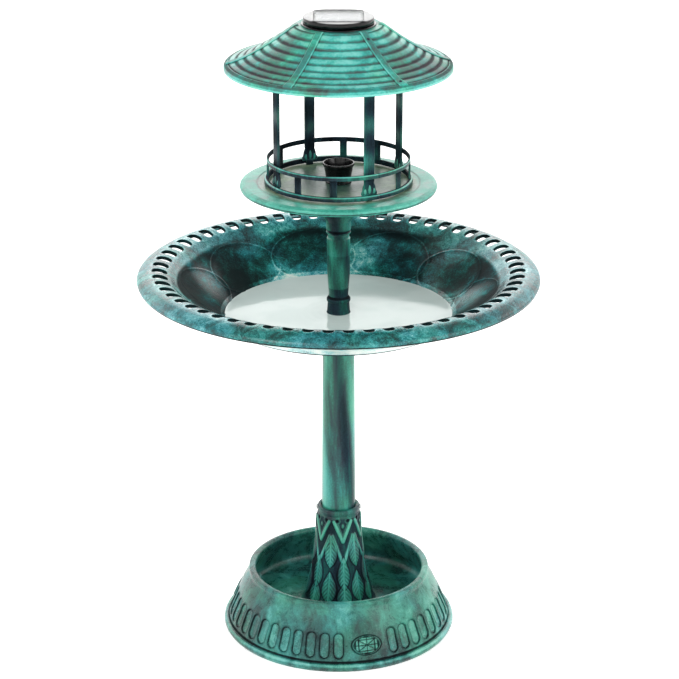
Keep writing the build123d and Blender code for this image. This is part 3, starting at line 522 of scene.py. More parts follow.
def build_basin():
    """Wide bowl: rolled lip, pierced rim, plaque-covered wall, floor and foot."""
    around = SLOTS * SLOT_DIVISIONS
    top_out, top_in = on_circle(RIM_TOP, RIM_OUT), on_circle(RIM_TOP, RIM_IN)
    under_out, under_in = on_circle(RIM_UNDER, RIM_OUT), on_circle(RIM_UNDER, RIM_IN)
    lip = [(RIM_OUT, under_out), (310, on_circle(RIM_UNDER, 310)), (313.6, 608.0, 1.5),
           (315.6, 603.6, 1.0), (317.8, 603.6, 1.0), (320, 608.5, 4), (317, 612.9, 4),
           (311, on_circle(RIM_TOP, 311), 5), (RIM_OUT, top_out)]
    arc = [(r, on_circle(RIM_TOP, r)) for r in np.linspace(RIM_IN - 1.5, INNER_R + 1.5, 3)]
    bowl = [(RIM_IN, top_in)] + arc + [
        (258.5, 606.9, 6), (FLOOR_R + 2, FLOOR_Z + 1.6, 22), (FLOOR_R - 16, FLOOR_Z, 10),
        (10.1, FLOOR_Z, 0.3), (10.1, 540, 0.3), (164.5, 540, 0.6), (164.5, 538.5, 0.6),
        (171.5, 538.5, 1.0), (172.5, 540.2, 0.8), (181, 540.8, 5), (264.4, on_circle(RIM_UNDER, 264.4)),
        (RIM_IN, under_in)]
    phase = math.pi / SLOTS
    lip_part = lathe("lip", lip, around, rim_relief, 1.5, closed=False)
    bowl_part = lathe("bowl", bowl, around, wall_relief, RELIEF_STEP, closed=False)
    cell, tone = slot_cells()
    rows, cols = cell.shape[:2]
    verts, faces = [], []
    for k in range(SLOTS):
        a = phase + TAU * k / SLOTS
        c, s = math.cos(a), math.sin(a)
        x, y, z = cell[..., 0], cell[..., 1], cell[..., 2]
        faces += grid_faces(rows, cols, False, True, first=k * rows * cols)
        verts.append(np.stack([x * c - y * s, x * s + y * c, z], -1).reshape(-1, 3))
    cells = mesh_object("cells", np.concatenate(verts), faces)
    set_tone(cells, np.tile(np.repeat(tone, cols), SLOTS))
    return weld(joined("basin_shell", [bowl_part, lip_part, cells]), 2e-5)


def water_relief(r, z, nr, nz, theta):
    """Rings on the water that die out away from the pole."""
    rings = 0.10 * np.cos(r * TAU / 13.0) * (1 - smoothstep(24, 85, r)) * (nz > 0.9)
    return rings, 0.0


def build_water():
    """Still water with a thin raised edge where it meets the wall and the hub."""
    r = 182.0
    outline = [(26.2, 544.2), (r - 5.4, 544.0, 0.3), (r - 0.3, 547.0, 0.1), (r - 2.0, 546.7, 1),
               (r - 6, 546.55, 2), (23, 546.55, 2), (19.6, 546.9, 0.5), (18.6, 547.0),
               (18.6, 546.0), (26.2, 545.8)]
    return lathe("water_surface", outline, around=240, relief=water_relief, step=2.0)


# ---------------------------------------------------------------- tray and cup
def tray_relief(r, z, nr, nz, theta):
    """Faint ring marks of the mould on the tray's top, a dark seam at its recess, and painted shade
    over the middle under the roof.
    """
    lift = smoothstep(0.8, 0.95, nz) * 0.06 * np.cos(r * TAU / 9.0) * (r < 126)
    edge = -0.9 * near(z - 756.6, 0.4, 1.5) * (nr > 0.5)
    seam = -0.5 * near(r - 127.4, 0.5, 1.6) * (nz > 0.5)
    # painted shade over the middle of the tray, under the roof
    shade = -0.9 * (1 - smoothstep(30, 118, r)) * (nz > 0.5)
    return lift, edge + seam + shade


def build_tray():
    """Round seed tray with a rolled rim, a shallow recess, a boss and ribs beneath."""
    shell = lathe("tray_shell", [
        (0, 760), (146, 760, 3), (150.4, 757.6, 2), (150.4, 753.9, 0.4), (152.9, 753.9, 1.0),
        (154.4, 757.2, 2.5), (153.6, 761.2, 3.0), (147, 763.8, 6), (128.6, 764, 0.8),
        (126.9, 763, 0.6), (14.2, 763, 0.5), (13.4, 765.4, 0.5), (0, 765.4)],
        around=512, relief=tray_relief, step=2.0)
    rib = [(64, 755), (147, 757), (147, 760.6), (64, 760.6)]
    parts = [weld(shell)]
    parts += [turned(plate("tray_rib", rib, 2.5), 41 + 60 * k) for k in range(6)]
    for angle in (90.0, 210.0, 330.0):
        post = lathe("tray_boss", [(0, 754), (5.5, 754, 0.5), (5.5, 760.6), (0, 760.6)], around=32)
        parts.append(shifted(weld(post), 48.0, angle))
    return joined("tray_shell", parts)


def build_cup():
    """Glossy seed cup: rolled rim, tapering wall and a flanged foot."""
    low = 763.2
    return weld(lathe("cup_shell", [
        (15, low, 0.4), (20.6, low, 0.6), (20.6, low + 2.2, 0.8), (19.0, low + 3.6, 1.0),
        (23.0, low + 26, 3), (24.9, low + 27.6, 1.4), (24.9, low + 31.8, 1.2),
        (23.0, low + 31.8, 0.8), (16.6, low + 6, 2.0), (0, low + 6), (0, low + 3.5),
        (15, low + 3.5, 0.4)], around=128, step=1.5))


# ---------------------------------------------------------------- posts and gallery
POST_ANGLES = [26.0 + 90 * k for k in range(4)]
POST_R = 105.7
POST_HALF_WIDE = 8.6
RAIL_IN, RAIL_R = 109.2, 110.7


def bent_plate(name, rows, half_thick, radius):
    """Upright plate of rows (height, half width, outward growth, tone) at a radius.

    Each row is a ring of points round the plate's section, softened at its corners.
    """
    around = 28
    verts, tone = [], []
    for z, half, grow, shade in rows:
        for k in range(around):
            a = TAU * k / around
            c, s = math.cos(a), math.sin(a)
            y = half * abs(s) ** 0.35 * math.copysign(1, s)
            x = half_thick * abs(c) ** 0.45 * math.copysign(1, c)
            verts.append((radius + x + (grow if c > 0.2 else 0.0), y, z))
            tone.append(shade + 0.3 * (abs(y) > half - 1.0) + 0.35 * math.sin(z * 0.11 + radius))
    return stacked(name, verts, around, tone)


def build_post(index, angle):
    """Upright standing on a leaf-shaped foot over a thin tenon."""
    rows = [(763.1, 5.6, 0, -0.8), (770.3, 5.6, 0, -0.8), (770.6, 12.0, 0, -0.6),
            (771.6, 12.9, 0.3, 0)]
    for t in np.linspace(0, 1, 14)[1:]:
        half = 12.9 - 4.3 * smoothstep(0.05, 0.95, t) + 0.45 * math.sin(t * 12)
        rows.append((771.6 + 20.0 * t, half, 0.35 * max(math.sin(t * 14), 0) * (1 - t), -0.6))
    rows += [(z, POST_HALF_WIDE, 0, -0.7) for z in np.linspace(793, 962, 30)]
    rows += [(z, POST_HALF_WIDE, grow, shade) for z, grow, shade in (
        (964, 0.35, 0), (966, 0.45, 0), (968, 0.3, 0), (970, 0, -0.5), (974.9, 0, -0.6))]
    body = bent_plate(f"post_body_{index}", rows, 2.5, POST_R)
    leaves = [foot_leaf(side, face) for side in (-1, 0, 1) for face in (1, -1)]
    post = joined(f"post_body_{index}", [body] + leaves)
    return turned(post, angle)


def foot_leaf(side, face):
    """One lobe of the leaf ornament on the outer or inner face of a post's foot."""
    rows, cols = 9, 12
    reach = 1.1 if face > 0 else 0.9
    verts, tone = [], []
    for i in range(rows):
        t = i / (rows - 1)
        z = 772.4 + (15.5 if side == 0 else 9.5) * t
        middle = side * (6.8 + 1.2 * math.sin(t * 3.0))
        wide = (2.9 if side == 0 else 2.5) * math.sin(math.pi * (0.16 + 0.8 * t)) + 0.2
        swell = math.sin(math.pi * (0.1 + 0.86 * t))
        for j in range(cols):
            a = TAU * j / cols
            out = max(math.cos(a), -0.3)
            verts.append((POST_R + face * (2.2 + reach * out * swell),
                          middle + face * wide * math.sin(a), z))
            tone.append(1.3 * max(math.cos(a), 0) - 0.6)
    return stacked("leaf", verts, cols, tone)


def arc_section(name, corners, start, end, steps=48, bright=None):
    """A rounded (radius, height) section swept between two angles, with closed ends.

    bright is the radius beyond which its paint is rubbed and its upper part carries a painted
    highlight; the rest of it stays dark.
    """
    points = orient(rounded(corners, 1.0))
    angles = np.radians(np.linspace(start, end, steps))
    verts = [(r * math.cos(a), r * math.sin(a), z) for a in angles for r, z in points]
    tone = np.zeros(len(points))
    if bright:
        middle = (points[:, 1].min() + points[:, 1].max()) / 2
        tone = np.where(points[:, 0] > bright, -0.35, -0.9)
        # painted highlight along the top of the bar's outer part
        tone = tone + 1.3 * ((points[:, 1] > middle + 2) & (points[:, 0] > bright))
    return weld(stacked(name, verts, len(points), np.tile(tone, steps)))


def build_railing(index, post_angle):
    """Quarter of the gallery: two rounded bars and two flat balusters."""
    start, end = post_angle - 90 + 7.12, post_angle + 6.88
    low = [(RAIL_IN, 764.5, 1.0), (116.1, 764.5, 2.2), (116.1, 772.0, 3.4), (RAIL_IN, 772.0, 1.8)]
    high = [(RAIL_IN, 796.7, 0.6), (112.1, 796.7, 1.2), (112.1, 804.2, 1.4), (RAIL_IN, 804.2, 1.2)]
    parts = [arc_section(f"rail_{index}", low, start, end, bright=113.4),
             arc_section(f"rail_{index}", high, start, end, bright=111.3)]
    for step in (30, 60):
        rows = [(z, half, 0, -0.8) for z, half in (
            (771.2, 6.1), (772.4, 5.9), (774.0, 5.75), (780, 5.7), (788, 5.7), (795.4, 5.75),
            (797.4, 6.0))]
        bar = bent_plate("baluster", rows, 1.5, RAIL_R)
        parts.append(turned(bar, post_angle - step))
    return joined(f"rail_{index}", parts)


# ---------------------------------------------------------------- roof
EAVE = (174.0, 955.0)
CROWN = (67.0, 1013.7)
ROOF_FLARE = 1.4
COURSES = 8
COURSE_OUT = 170.0
RIB_ANGLES = [4.0 + 60 * k for k in range(6)]
RIB_HALF_WIDE = 5.75
RIB_FOOT = (157, 163)  # radii over which a rib widens and rises to its foot
RIB_REACH = ((60.5, 63.0), (172.0, 173.6))  # radii over which a rib begins and ends


def roof_height(r):
    """Height of the roof's surface without its courses."""
    t = np.maximum(EAVE[0] - r, 0) / (EAVE[0] - CROWN[0])
    return EAVE[1] + (CROWN[1] - EAVE[1]) * t ** ROOF_FLARE


def roof_relief(r, z, nr, nz, theta):
    """Soft convex courses with dark joints, six ribs with painted highlights along their edges, and
    their feet; painted light makes the panels lighter at three bearings, one of them facing the front,
    and a painted highlight runs along the eave's lip.
    """
    top = smoothstep(0.5, 0.7, nz)
    pitch = (COURSE_OUT - CROWN[0]) / COURSES
    k = (r - CROWN[0]) / pitch
    on_courses = (k > 0) * (k < COURSES)
    f = k - np.floor(k)
    joint = np.minimum(f, 1 - f)
    bulge = 1.3 * np.sin(np.pi * f) ** 0.8 - 1.0
    course = on_courses * (bulge - 0.35 * (1 - smoothstep(0.0, 0.10, joint)))
    down = smoothstep(CROWN[0], COURSE_OUT, r)
    # Painted light: the panels are painted lighter at three bearings, one of them facing the front.
    # They also darken down the slope.
    panel = 0.45 * np.cos(3 * (theta - math.radians(274))) - 0.4 * down
    shade = on_courses * (0.45 - 1.3 * (1 - smoothstep(0.0, 0.34, joint)) + panel)
    shade = shade - 0.8 * smoothstep(170.0, 172.0, r)
    foot = smoothstep(*RIB_FOOT, r)
    reach = smoothstep(*RIB_REACH[0], r) * (1 - smoothstep(*RIB_REACH[1], r))
    rib = outline = edge = 0.0
    for angle in RIB_ANGLES:
        x = np.abs(angle_from(theta, angle)) * r
        half = RIB_HALF_WIDE + 1.6 * foot
        rib = np.maximum(rib, 1 - smoothstep(-0.9, 0.7, x - half))
        outline = np.maximum(outline, near(x - half - 0.9, 0.2, 1.0))
        # painted highlight along both edges of each rib
        edge = np.maximum(edge, near(x - half + 0.7, 0.2, 0.8))
    rib, outline, edge = rib * reach, outline * reach, edge * reach
    crest = 1.75 + 0.25 * foot
    # painted highlight along the eave's lip
    lip = 1.2 * near(z - 946.5, 0.5, 1.8) * (nr > 0.4)
    tone = top * (shade * (1 - rib) + rib * (panel * 0.3 - 0.15) - 0.9 * outline + 0.9 * edge) + lip
    return top * (course * (1 - rib) + rib * crest), tone


def build_roof():
    """Flared roof with lapped courses, ribs, a thin turned-down eave and four post bosses."""
    slope = [(r, float(roof_height(r))) for r in np.linspace(CROWN[0] + 6, EAVE[0] - 12, 9)]
    under = [(r, float(roof_height(r)) - 3.6) for r in np.linspace(EAVE[0] - 8, CROWN[0], 8)]
    outline = [(54.6, 1013.7, 0.5), (64, 1013.7), (CROWN[0], CROWN[1] - 0.4, 4)] + slope
    outline += [(EAVE[0] - 3, EAVE[1] + 0.6, 4), (176.4, 952.0, 5), (176.6, 944.9, 1.1),
                (175.4, 944.5, 0.8), (174.0, 944.5, 0.8), (173.7, 949.0, 2),
                (EAVE[0] - 3.6, EAVE[1] - 3.0, 3)]
    outline += under + [(64.5, 1008.0), (64.0, 1006.6, 0.5), (54.6, 1006.6, 0.5)]
    parts = [lathe("roof_shell", outline, around=1080, relief=roof_relief, step=0.8)]
    parts += [turned(boss_block(POST_R, 10.0, 23.3, 975.0), angle) for angle in POST_ANGLES]
    return joined("roof_shell", parts)


def boss_block(radius, deep, wide, low):
    """Block under the roof that takes the top of a post, following the slope above."""
    rows, ring = 8, 24
    verts = []
    for i in range(rows):
        t = i / (rows - 1)
        shrink = 0.9 * (1 - smoothstep(0, 0.2, t))
        for k in range(ring):
            a = TAU * k / ring
            c, s = math.cos(a), math.sin(a)
            x = radius + (deep / 2 - shrink) * math.copysign(abs(c) ** 0.25, c)
            y = (wide / 2 - shrink) * math.copysign(abs(s) ** 0.25, s)
            high = float(roof_height(math.hypot(x, y))) - 1.6
            verts.append((x, y, low + (high - low) * t))
    return stacked("boss", verts, ring, np.zeros(len(verts)))


# ---------------------------------------------------------------- solar light
CAP_R = 54.8
CAP_TOP = 1027.0
PANEL_HALF = 38.2
PANEL_SEAT = 1022.5
FRAME_SCALE = 1.058  # of the frame's outer edge, where its inner edge is 1
SQUARE_POWER = 9.0  # 2 would be a circle, more has sharper corners
CAP_ROUND = 1.2


def bearings(count):
    """Unit vectors at even bearings round the axis."""
    a = np.arange(count) * TAU / count
    return np.stack([np.cos(a), np.sin(a)], 1)


def square_outline(half, count):
    """Points of a rounded square in the order of their bearing from its middle."""
    ray = bearings(count)
    return ray * (np.abs(ray) ** SQUARE_POWER).sum(1, keepdims=True) ** (-1 / SQUARE_POWER) * half


def build_cap():
    """Glossy round cap: a square raised frame round the panel, easing down to the rim."""
    count = 192
    square, disc = square_outline(PANEL_HALF, count), bearings(count)
    rows = []

    def ring(mix, z, scale=1.0, radius=CAP_R):
        xy = square * scale * (1 - mix) + disc * radius * mix
        rows.append(np.column_stack([xy, np.full(count, z)]))

    for scale, z in ((0.0, PANEL_SEAT), (0.6, PANEL_SEAT), (0.999, PANEL_SEAT), (0.999, 1025.9),
                     (1.004, 1026.6), (1.014, CAP_TOP), (1.042, CAP_TOP),
                     (FRAME_SCALE, CAP_TOP - 0.35)):
        ring(0, z, scale)
    for mix in (0.15, 0.35, 0.6, 0.85):
        ring(mix, CAP_TOP - 0.6 - 0.5 * mix, FRAME_SCALE, CAP_R - CAP_ROUND)
    for t in np.linspace(0, math.pi / 2, 6):
        ring(1, CAP_TOP - 1.2 - CAP_ROUND * (1 - math.cos(t)), 1,
             CAP_R - CAP_ROUND * (1 - math.sin(t)))
    for radius, z in ((CAP_R, 1017.3), (CAP_R - 0.7, 1016.5), (53.7, 1016.5), (53.6, 1017.6),
                      (51.5, 1017.6), (51.4, 1016.5), (48.9, 1016.5), (48.9, 988.0),
                      (46.4, 988.0), (46.4, 1020.5), (6.0, 1020.5), (0.0, 1020.5)):
        ring(1, z, 1, radius)
    faces = grid_faces(len(rows), count, False, True)
    parts = [weld(mesh_object("cap_shell", np.concatenate(rows), faces))]
    lug = [(48.4, 996.7, 0.4), (50.9, 996.7, 0.5), (50.9, 999.7, 0.5), (48.4, 999.7, 0.3)]
    parts += [arc_section("lug", lug, 120 * k - 9, 120 * k + 9, 12) for k in range(3)]
    pillar = [(1.2, 988), (3.4, 988, 0.3), (3.4, 1002, 0.5), (1.2, 1002)]
    for k in range(3):
        parts.append(shifted(weld(lathe("screw_post", pillar, around=24)), 41.5, 60 + 120 * k))
    return joined("cap_shell", parts)


def build_light_ring():
    """Black collar in the roof's crown, with ledges that hook the light's lugs."""
    parts = [lathe("light_ring", [
        (51.3, 996, 0.4), (54.3, 996, 0.5), (54.3, 1013.7), (57.2, 1013.7, 0.3),
        (57.8, 1014.4, 0.4), (57.6, 1015.7, 0.7), (56.6, 1016.2, 0.5), (51.3, 1016.2, 0.4)],
        around=256, step=1.0)]
    ledge = [(49.3, 1000, 0.3), (51.8, 1000), (51.8, 1003), (49.3, 1003, 0.3)]
    parts += [arc_section("ledge", ledge, 120 * k + 43, 120 * k + 137, 40) for k in range(3)]
    return joined("light_ring", parts)


def build_window():
    """Clear plate with a fine bevel, flush in its frame."""
    count = 160
    square = square_outline(PANEL_HALF - 0.2, count)
    rows = []
    for scale, z in ((0.0, 1023.55), (0.6, 1023.55), (0.994, 1023.55), (1.0, 1023.8), (1.0, 1026.8),
                     (0.996, 1026.95), (0.6, 1026.95), (0.0, 1026.95)):
        rows.append(np.column_stack([square * scale, np.full(count, z)]))
    faces = grid_faces(len(rows), count, False, True)
    return weld(mesh_object("window_plate", np.concatenate(rows), faces))


# ---------------------------------------------------------------- materials
def srgb(code):
    """Linear colour from a six-digit sRGB code."""
    channels = [int(code[i:i + 2], 16) / 255 for i in (0, 2, 4)]
    linear = [c / 12.92 if c <= 0.04045 else ((c + 0.055) / 1.055) ** 2.4 for c in channels]
    return (*linear, 1.0)


class Finish:
    """A material under construction: a principled shader and the nodes that feed it."""

    def __init__(self, name, **constants):
        self.material = bpy.data.materials.new(name)
        self.material.use_nodes = True
        self.tree = self.material.node_tree
        self.tree.nodes.clear()
        output = self.tree.nodes.new("ShaderNodeOutputMaterial")
        self.shader = self.tree.nodes.new("ShaderNodeBsdfPrincipled")
        self.tree.links.new(self.shader.outputs["BSDF"], output.inputs["Surface"])
        self.place = self.tree.nodes.new("ShaderNodeTexCoord").outputs["Object"]
        for key, value in constants.items():
            self.shader.inputs[key.replace("_", " ")].default_value = value

    def node(self, kind, inputs=(), **settings):
        """A node with its settings, and its inputs linked or set by name or number."""
        node = self.tree.nodes.new(kind)
        for key, value in settings.items():
            setattr(node, key, value)
        for key, value in dict(inputs).items():
            if isinstance(value, bpy.types.NodeSocket):
                self.tree.links.new(value, node.inputs[key])
            else:
                node.inputs[key].default_value = value
        return node

    def noise(self, scale, detail=4.0, roughness=0.6, distortion=0.0, stretch=None, shift=0.0):
        """Noise from 0 to 1 about its middle, optionally stretched along the axes."""
        place = self.place
        if stretch or shift:
            place = self.node("ShaderNodeMapping", {
                "Vector": place, "Scale": stretch or (1, 1, 1),
                "Location": (shift, shift * 0.7, shift * 1.3)}).outputs["Vector"]
        return self.node("ShaderNodeTexNoise", {
            "Vector": place, "Scale": scale, "Detail": detail, "Roughness": roughness,
            "Distortion": distortion}).outputs["Fac"]

    def ranged(self, value, low, high, to_low=0.0, to_high=1.0):
        """The value moved from one range to another, kept between its ends."""
        return self.node("ShaderNodeMapRange", {
            "Value": value, "From Min": low, "From Max": high,
            "To Min": to_low, "To Max": to_high}, interpolation_type="SMOOTHSTEP").outputs["Result"]

    def mixed(self, factor, a, b):
        """Two colours mixed by a factor."""
        node = self.node("ShaderNodeMix", data_type="RGBA")
        for socket, value in zip((node.inputs[0], node.inputs[6], node.inputs[7]), (factor, a, b)):
            if isinstance(value, bpy.types.NodeSocket):
                self.tree.links.new(value, socket)
            else:
                socket.default_value = value
        return node.outputs[2]

    def ramp(self, value, *stops):
        """A run of colours along 0 to 1, each stop a place and a colour."""
        node = self.node("ShaderNodeValToRGB", {"Fac": value})
        points = node.color_ramp.elements
        while len(points) < len(stops):
            points.new(0.5)
        for point, (place, colour) in zip(points, stops):
            point.position = place
            point.color = colour
        return node.outputs["Color"]

    def maths(self, operation, a, b):
        """Arithmetic on two values."""
        return self.node("ShaderNodeMath", {0: a, 1: b}, operation=operation).outputs["Value"]

    def total(self, *parts):
        """Sum of values, each with its weight."""
        result = 0.0
        for value, weight in parts:
            result = self.node("ShaderNodeMath", {0: value, 1: weight, 2: result},
                               operation="MULTIPLY_ADD").outputs["Value"]
        return result

    def tone(self):
        """How dark or rubbed bright the mesh says the paint is, painted shade and highlights included.
        """
        return self.node("ShaderNodeAttribute", attribute_name="tone").outputs["Fac"]

    def feed(self, socket, value):
        """Link a value to one of the shader's own inputs."""
        self.tree.links.new(value, self.shader.inputs[socket])

    def bump(self, *layers):
        """Layers of (height, distance in metres) pressed into the surface in turn."""
        normal = None
        for height, distance in layers:
            inputs = {"Height": height, "Distance": distance, "Strength": 1.0}
            if normal:
                inputs["Normal"] = normal
            normal = self.node("ShaderNodeBump", inputs).outputs["Normal"]
        self.feed("Normal", normal)


def patina(name, colours, level=0.5, streak=None, gloss=0.30, coat=0.3, fleck=0.5, contrast=1.0):
    """Rubbed verdigris paint on moulded resin: dark in hollows, bright on high spots, with the painted
    shade and highlights that some reliefs put in the tone.

    colours run from the darkest hollow to the palest rub, level is how much of the
    surface is rubbed, streak stretches the patches along the axes, and coat is how
    strongly the rubbed paint shines; dark paint stays dull.
    """
    m = Finish(name, Coat_Roughness=0.16)
    tone = m.tone()
    cloud = m.noise(9, detail=5, roughness=0.6, distortion=0.5, stretch=streak)
    patches = m.noise(34, detail=6, roughness=0.68, distortion=0.4, stretch=streak, shift=3.1)
    grain = m.noise(420, detail=4, roughness=0.75, shift=7.7)
    speck = m.noise(1400, detail=2, roughness=0.6, shift=1.9)
    spread = m.total((cloud, 1.2 * contrast), (patches, 1.5 * contrast), (grain, fleck),
                     (speck, fleck * 0.5), (tone, 0.42))
    mean = 0.5 * (2.7 * contrast + fleck * 1.5)
    # the rub follows the tone, so it also carries the painted shade and highlights set there
    rub = m.ranged(spread, mean - level - 0.15, mean - level + 1.15)
    count = len(colours) - 1
    body = m.ramp(rub, *[(k / count, srgb(code)) for k, code in enumerate(colours)])
    hue = m.ranged(m.noise(11, detail=3, shift=5.3), 0.4, 0.6, 0.488, 0.522)
    body = m.node("ShaderNodeHueSaturation", {"Color": body, "Hue": hue}).outputs["Color"]
    m.feed("Base Color", body)
    m.feed("Specular IOR Level", m.ranged(tone, -0.8, 0.2, 0.03, 0.30))
    m.feed("Coat Weight", m.ranged(tone, -0.6, 0.4, 0.0, coat))
    worn = m.total((patches, 1.0), (grain, 0.4), (tone, -0.4))
    m.feed("Roughness", m.ranged(worn, 0.5, 1.2, gloss - 0.06, gloss + 0.26))
    m.bump((patches, 0.0008), (grain, 0.00030), (speck, 0.00010))
    return m.material


def plain(name, colour, wear, roughness, scale=180, metallic=0.0, bump=0.0001, **extra):
    """Simple moulded or metal finish with slight variation and scuffs."""
    m = Finish(name, Metallic=metallic, **extra)
    cloud = m.noise(scale, detail=5, roughness=0.6)
    fine = m.noise(scale * 9, detail=3, roughness=0.6, shift=2.3)
    m.feed("Base Color", m.mixed(m.ranged(cloud, 0.42, 0.68), srgb(colour), srgb(wear)))
    m.feed("Roughness", m.ranged(cloud, 0.35, 0.65, roughness * 0.8, roughness * 1.2))
    m.bump((cloud, bump * 2), (fine, bump))
    return m.material


def tray_finish(name):
    """Teal rubbed paint with a buff-green middle that fades out past the gallery."""
    m = Finish(name, Specular_IOR_Level=0.4, Coat_Weight=0.22, Coat_Roughness=0.38)
    cloud = m.noise(9, detail=5, roughness=0.6, distortion=0.5)
    patches = m.noise(40, detail=6, roughness=0.68, distortion=0.4, shift=3.1)
    grain = m.noise(420, detail=4, roughness=0.75, shift=7.7)
    rub = m.ranged(m.total((cloud, 1.0), (patches, 1.5), (grain, 0.5), (m.tone(), 0.6)),
                   0.9, 2.1)
    teal = m.ramp(rub, (0.0, srgb("1a3f3c")), (0.3, srgb("2a8272")), (0.65, srgb("44a390")),
                  (1.0, srgb("74bfa9")))
    # The buff colours are kept dark, in part as painted shade under the roof.
    buff = m.ramp(rub, (0.0, srgb("22423a")), (0.45, srgb("667d67")), (1.0, srgb("a5ab8f")))
    flat = m.node("ShaderNodeVectorMath", {0: m.place, 1: (1.0, 1.0, 0.0)},
                  operation="MULTIPLY").outputs["Vector"]
    radius = m.node("ShaderNodeVectorMath", {0: flat}, operation="LENGTH").outputs["Value"]
    radius = m.total((patches, 0.034), (radius, 1.0))
    m.feed("Base Color", m.mixed(m.ranged(radius, 0.149, 0.132), teal, buff))
    m.feed("Roughness", m.ranged(patches, 0.35, 0.65, 0.34, 0.5))
    m.bump((patches, 0.0002), (grain, 0.00015))
    return m.material


def finishes():
    """Every material slot's finish, by the record's name for it."""
    tall = (1.0, 1.0, 0.14)
    return {
        "planter_patina": patina("planter_patina", [
            "0c1517", "1a3f3b", "235f55", "348073", "66aa9c"], 0.53, (1, 1, 0.6), 0.30, 0.25),
        "dark_patina": patina("dark_patina", [
            "0b1216", "1c2f36", "1d5049", "2a7d6d", "4fa390"], 0.50, tall, 0.34, 0.08, 0.4),
        # The palest, cream stop shows mostly on the underside, where it is a painted reflection of the
        # floor, and on the most rubbed rim.
        "basin_patina": patina("basin_patina", [
            "0a1a1b", "123c3b", "1b6665", "2f8c8c", "7db8b4", "c6d0c8"], 0.44, None, 0.27, 0.4, 0.9),
        "tray_patina": tray_finish("tray_patina"),
        "roof_patina": patina("roof_patina", [
            "3c383d", "43625b", "34796b", "37a08c", "72bfae"], 0.62, None, 0.34, 0.12, 0.5),
        "black_plastic": plain("black_plastic", "030405", "07080a", 0.18, bump=0.00002,
                               Specular_IOR_Level=0.32),
        "rubber_seal": plain("rubber_seal", "1b1b1c", "262625", 0.75),
        "steel_screw": plain("steel_screw", "b4b6b6", "8d9090", 0.32, 600, 1.0),
        "blackened_screw": plain("blackened_screw", "10182a", "1d2434", 0.4, 600, 0.3),
        "silicon_cell": silicon("silicon_cell"),
        "clear_panel": glass("clear_panel"),
        "frosted_lens": plain("frosted_lens", "e6eaea", "dcdfdd", 0.45, 240,
                              Transmission_Weight=0.8),
        "board_green": plain("board_green", "1c5a34", "17502d", 0.42, 700),
        "led_white": plain("led_white", "f4f4ec", "e9e2c4", 0.3, 500),
        "battery_wrap": plain("battery_wrap", "3c7a3e", "336f37", 0.35, 160),
        "water_layer": water_finish("water_layer"),
    }


def silicon(name):
    """Solar cell: grey wafer segments with fine silver fingers and broader bars."""
    m = Finish(name, Specular_IOR_Level=0.1)
    grains = m.node("ShaderNodeTexVoronoi", {"Vector": m.place, "Scale": 190.0}).outputs["Color"]
    base = m.mixed(0.25, srgb("6b6f75"), grains)
    base = m.mixed(0.85, base, srgb("7c7f83"))
    split = m.node("ShaderNodeSeparateXYZ", {"Vector": m.place})
    x, y = split.outputs["X"], split.outputs["Y"]
    fingers = m.ranged(m.maths("PINGPONG", y, 0.0012), 0.00012, 0.00004)
    bars = m.ranged(m.maths("PINGPONG", x, 0.0175), 0.0008, 0.0005)
    lines = m.maths("MAXIMUM", fingers, bars)
    m.feed("Base Color", m.mixed(lines, base, srgb("c4c6c8")))
    m.feed("Roughness", m.ranged(m.noise(300), 0.3, 0.7, 0.22, 0.36))
    m.bump((lines, 0.00004))
    return m.material


def glass(name):
    """Clear plate with faint dust, see-through by its alpha."""
    m = Finish(name, Alpha=0.22, Specular_IOR_Level=0.4)
    dust = m.noise(900, detail=4, roughness=0.7)
    m.feed("Base Color", m.mixed(m.ranged(dust, 0.5, 0.8), srgb("f3f6f6"), srgb("dfe4e4")))
    m.feed("Roughness", m.ranged(dust, 0.4, 0.75, 0.02, 0.12))
    return m.material


def water_finish(name):
    """Still water with faint ripples; its pale grey-green base colour is a painted reflection of the
    bright surroundings.
    """
    m = Finish(name, IOR=1.333, Transmission_Weight=0.06, Specular_IOR_Level=0.28)
    ripple = m.noise(14, detail=2, roughness=0.4)
    m.feed("Base Color", m.mixed(m.ranged(ripple, 0.4, 0.6), srgb("bfccc9"), srgb("b5c4c1")))
    m.feed("Roughness", m.ranged(ripple, 0.3, 0.7, 0.06, 0.12))
    m.bump((ripple, 0.0005))
    return m.material


# ---------------------------------------------------------------- the object
LOOKS = finishes()


def place(obj, body, slot, *nodes):
    """A new piece takes its finish, stands for its CAD nodes and rides on its body."""
    obj.data.materials.clear()
    obj.data.materials.append(LOOKS[slot])
    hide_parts(*nodes)
    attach(obj, body)


def finish_node(name):
    """Give a carried-over CAD node the finish of its own slot."""
    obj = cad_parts[name]
    for k, old in enumerate(obj.data.materials):
        obj.data.materials[k] = LOOKS[old.name.split(".")[0]]


place(weld(build_base()), "stand", "planter_patina", "base_planter")
place(weld(build_collar()), "stand", "dark_patina", "leaf_collar")
place(weld(build_lower_pole()), "stand", "dark_patina", "lower_pole")
place(build_basin(), "stand", "basin_patina", "basin")
place(weld(build_water()), "stand", "water_layer", "water")
upper, neck, hub = build_poles()
place(weld(hub), "stand", "dark_patina", "basin_hub")
place(weld(upper), "feeder_station", "dark_patina", "upper_pole")
place(weld(neck), "feeder_station", "dark_patina", "tray_socket")
place(build_tray(), "feeder_station", "tray_patina", "feeder_tray")
place(build_cup(), "seed_cup", "black_plastic", "feeder_cup")
for index, angle in enumerate(POST_ANGLES, start=1):
    place(weld(build_post(index, angle)), "feeder_station", "dark_patina", f"post_{index}")
    place(weld(build_railing(index, angle)), "feeder_station", "dark_patina", f"railing_{index}")
place(weld(build_roof()), "feeder_station", "roof_patina", "roof", "roof_crown")
place(weld(build_light_ring()), "light_mount", "black_plastic", "light_collar")
place(weld(build_cap()), "solar_light", "black_plastic", "light_housing", "light_cap")
place(build_window(), "solar_light", "clear_panel", "panel_window")
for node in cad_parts:
    finish_node(node)


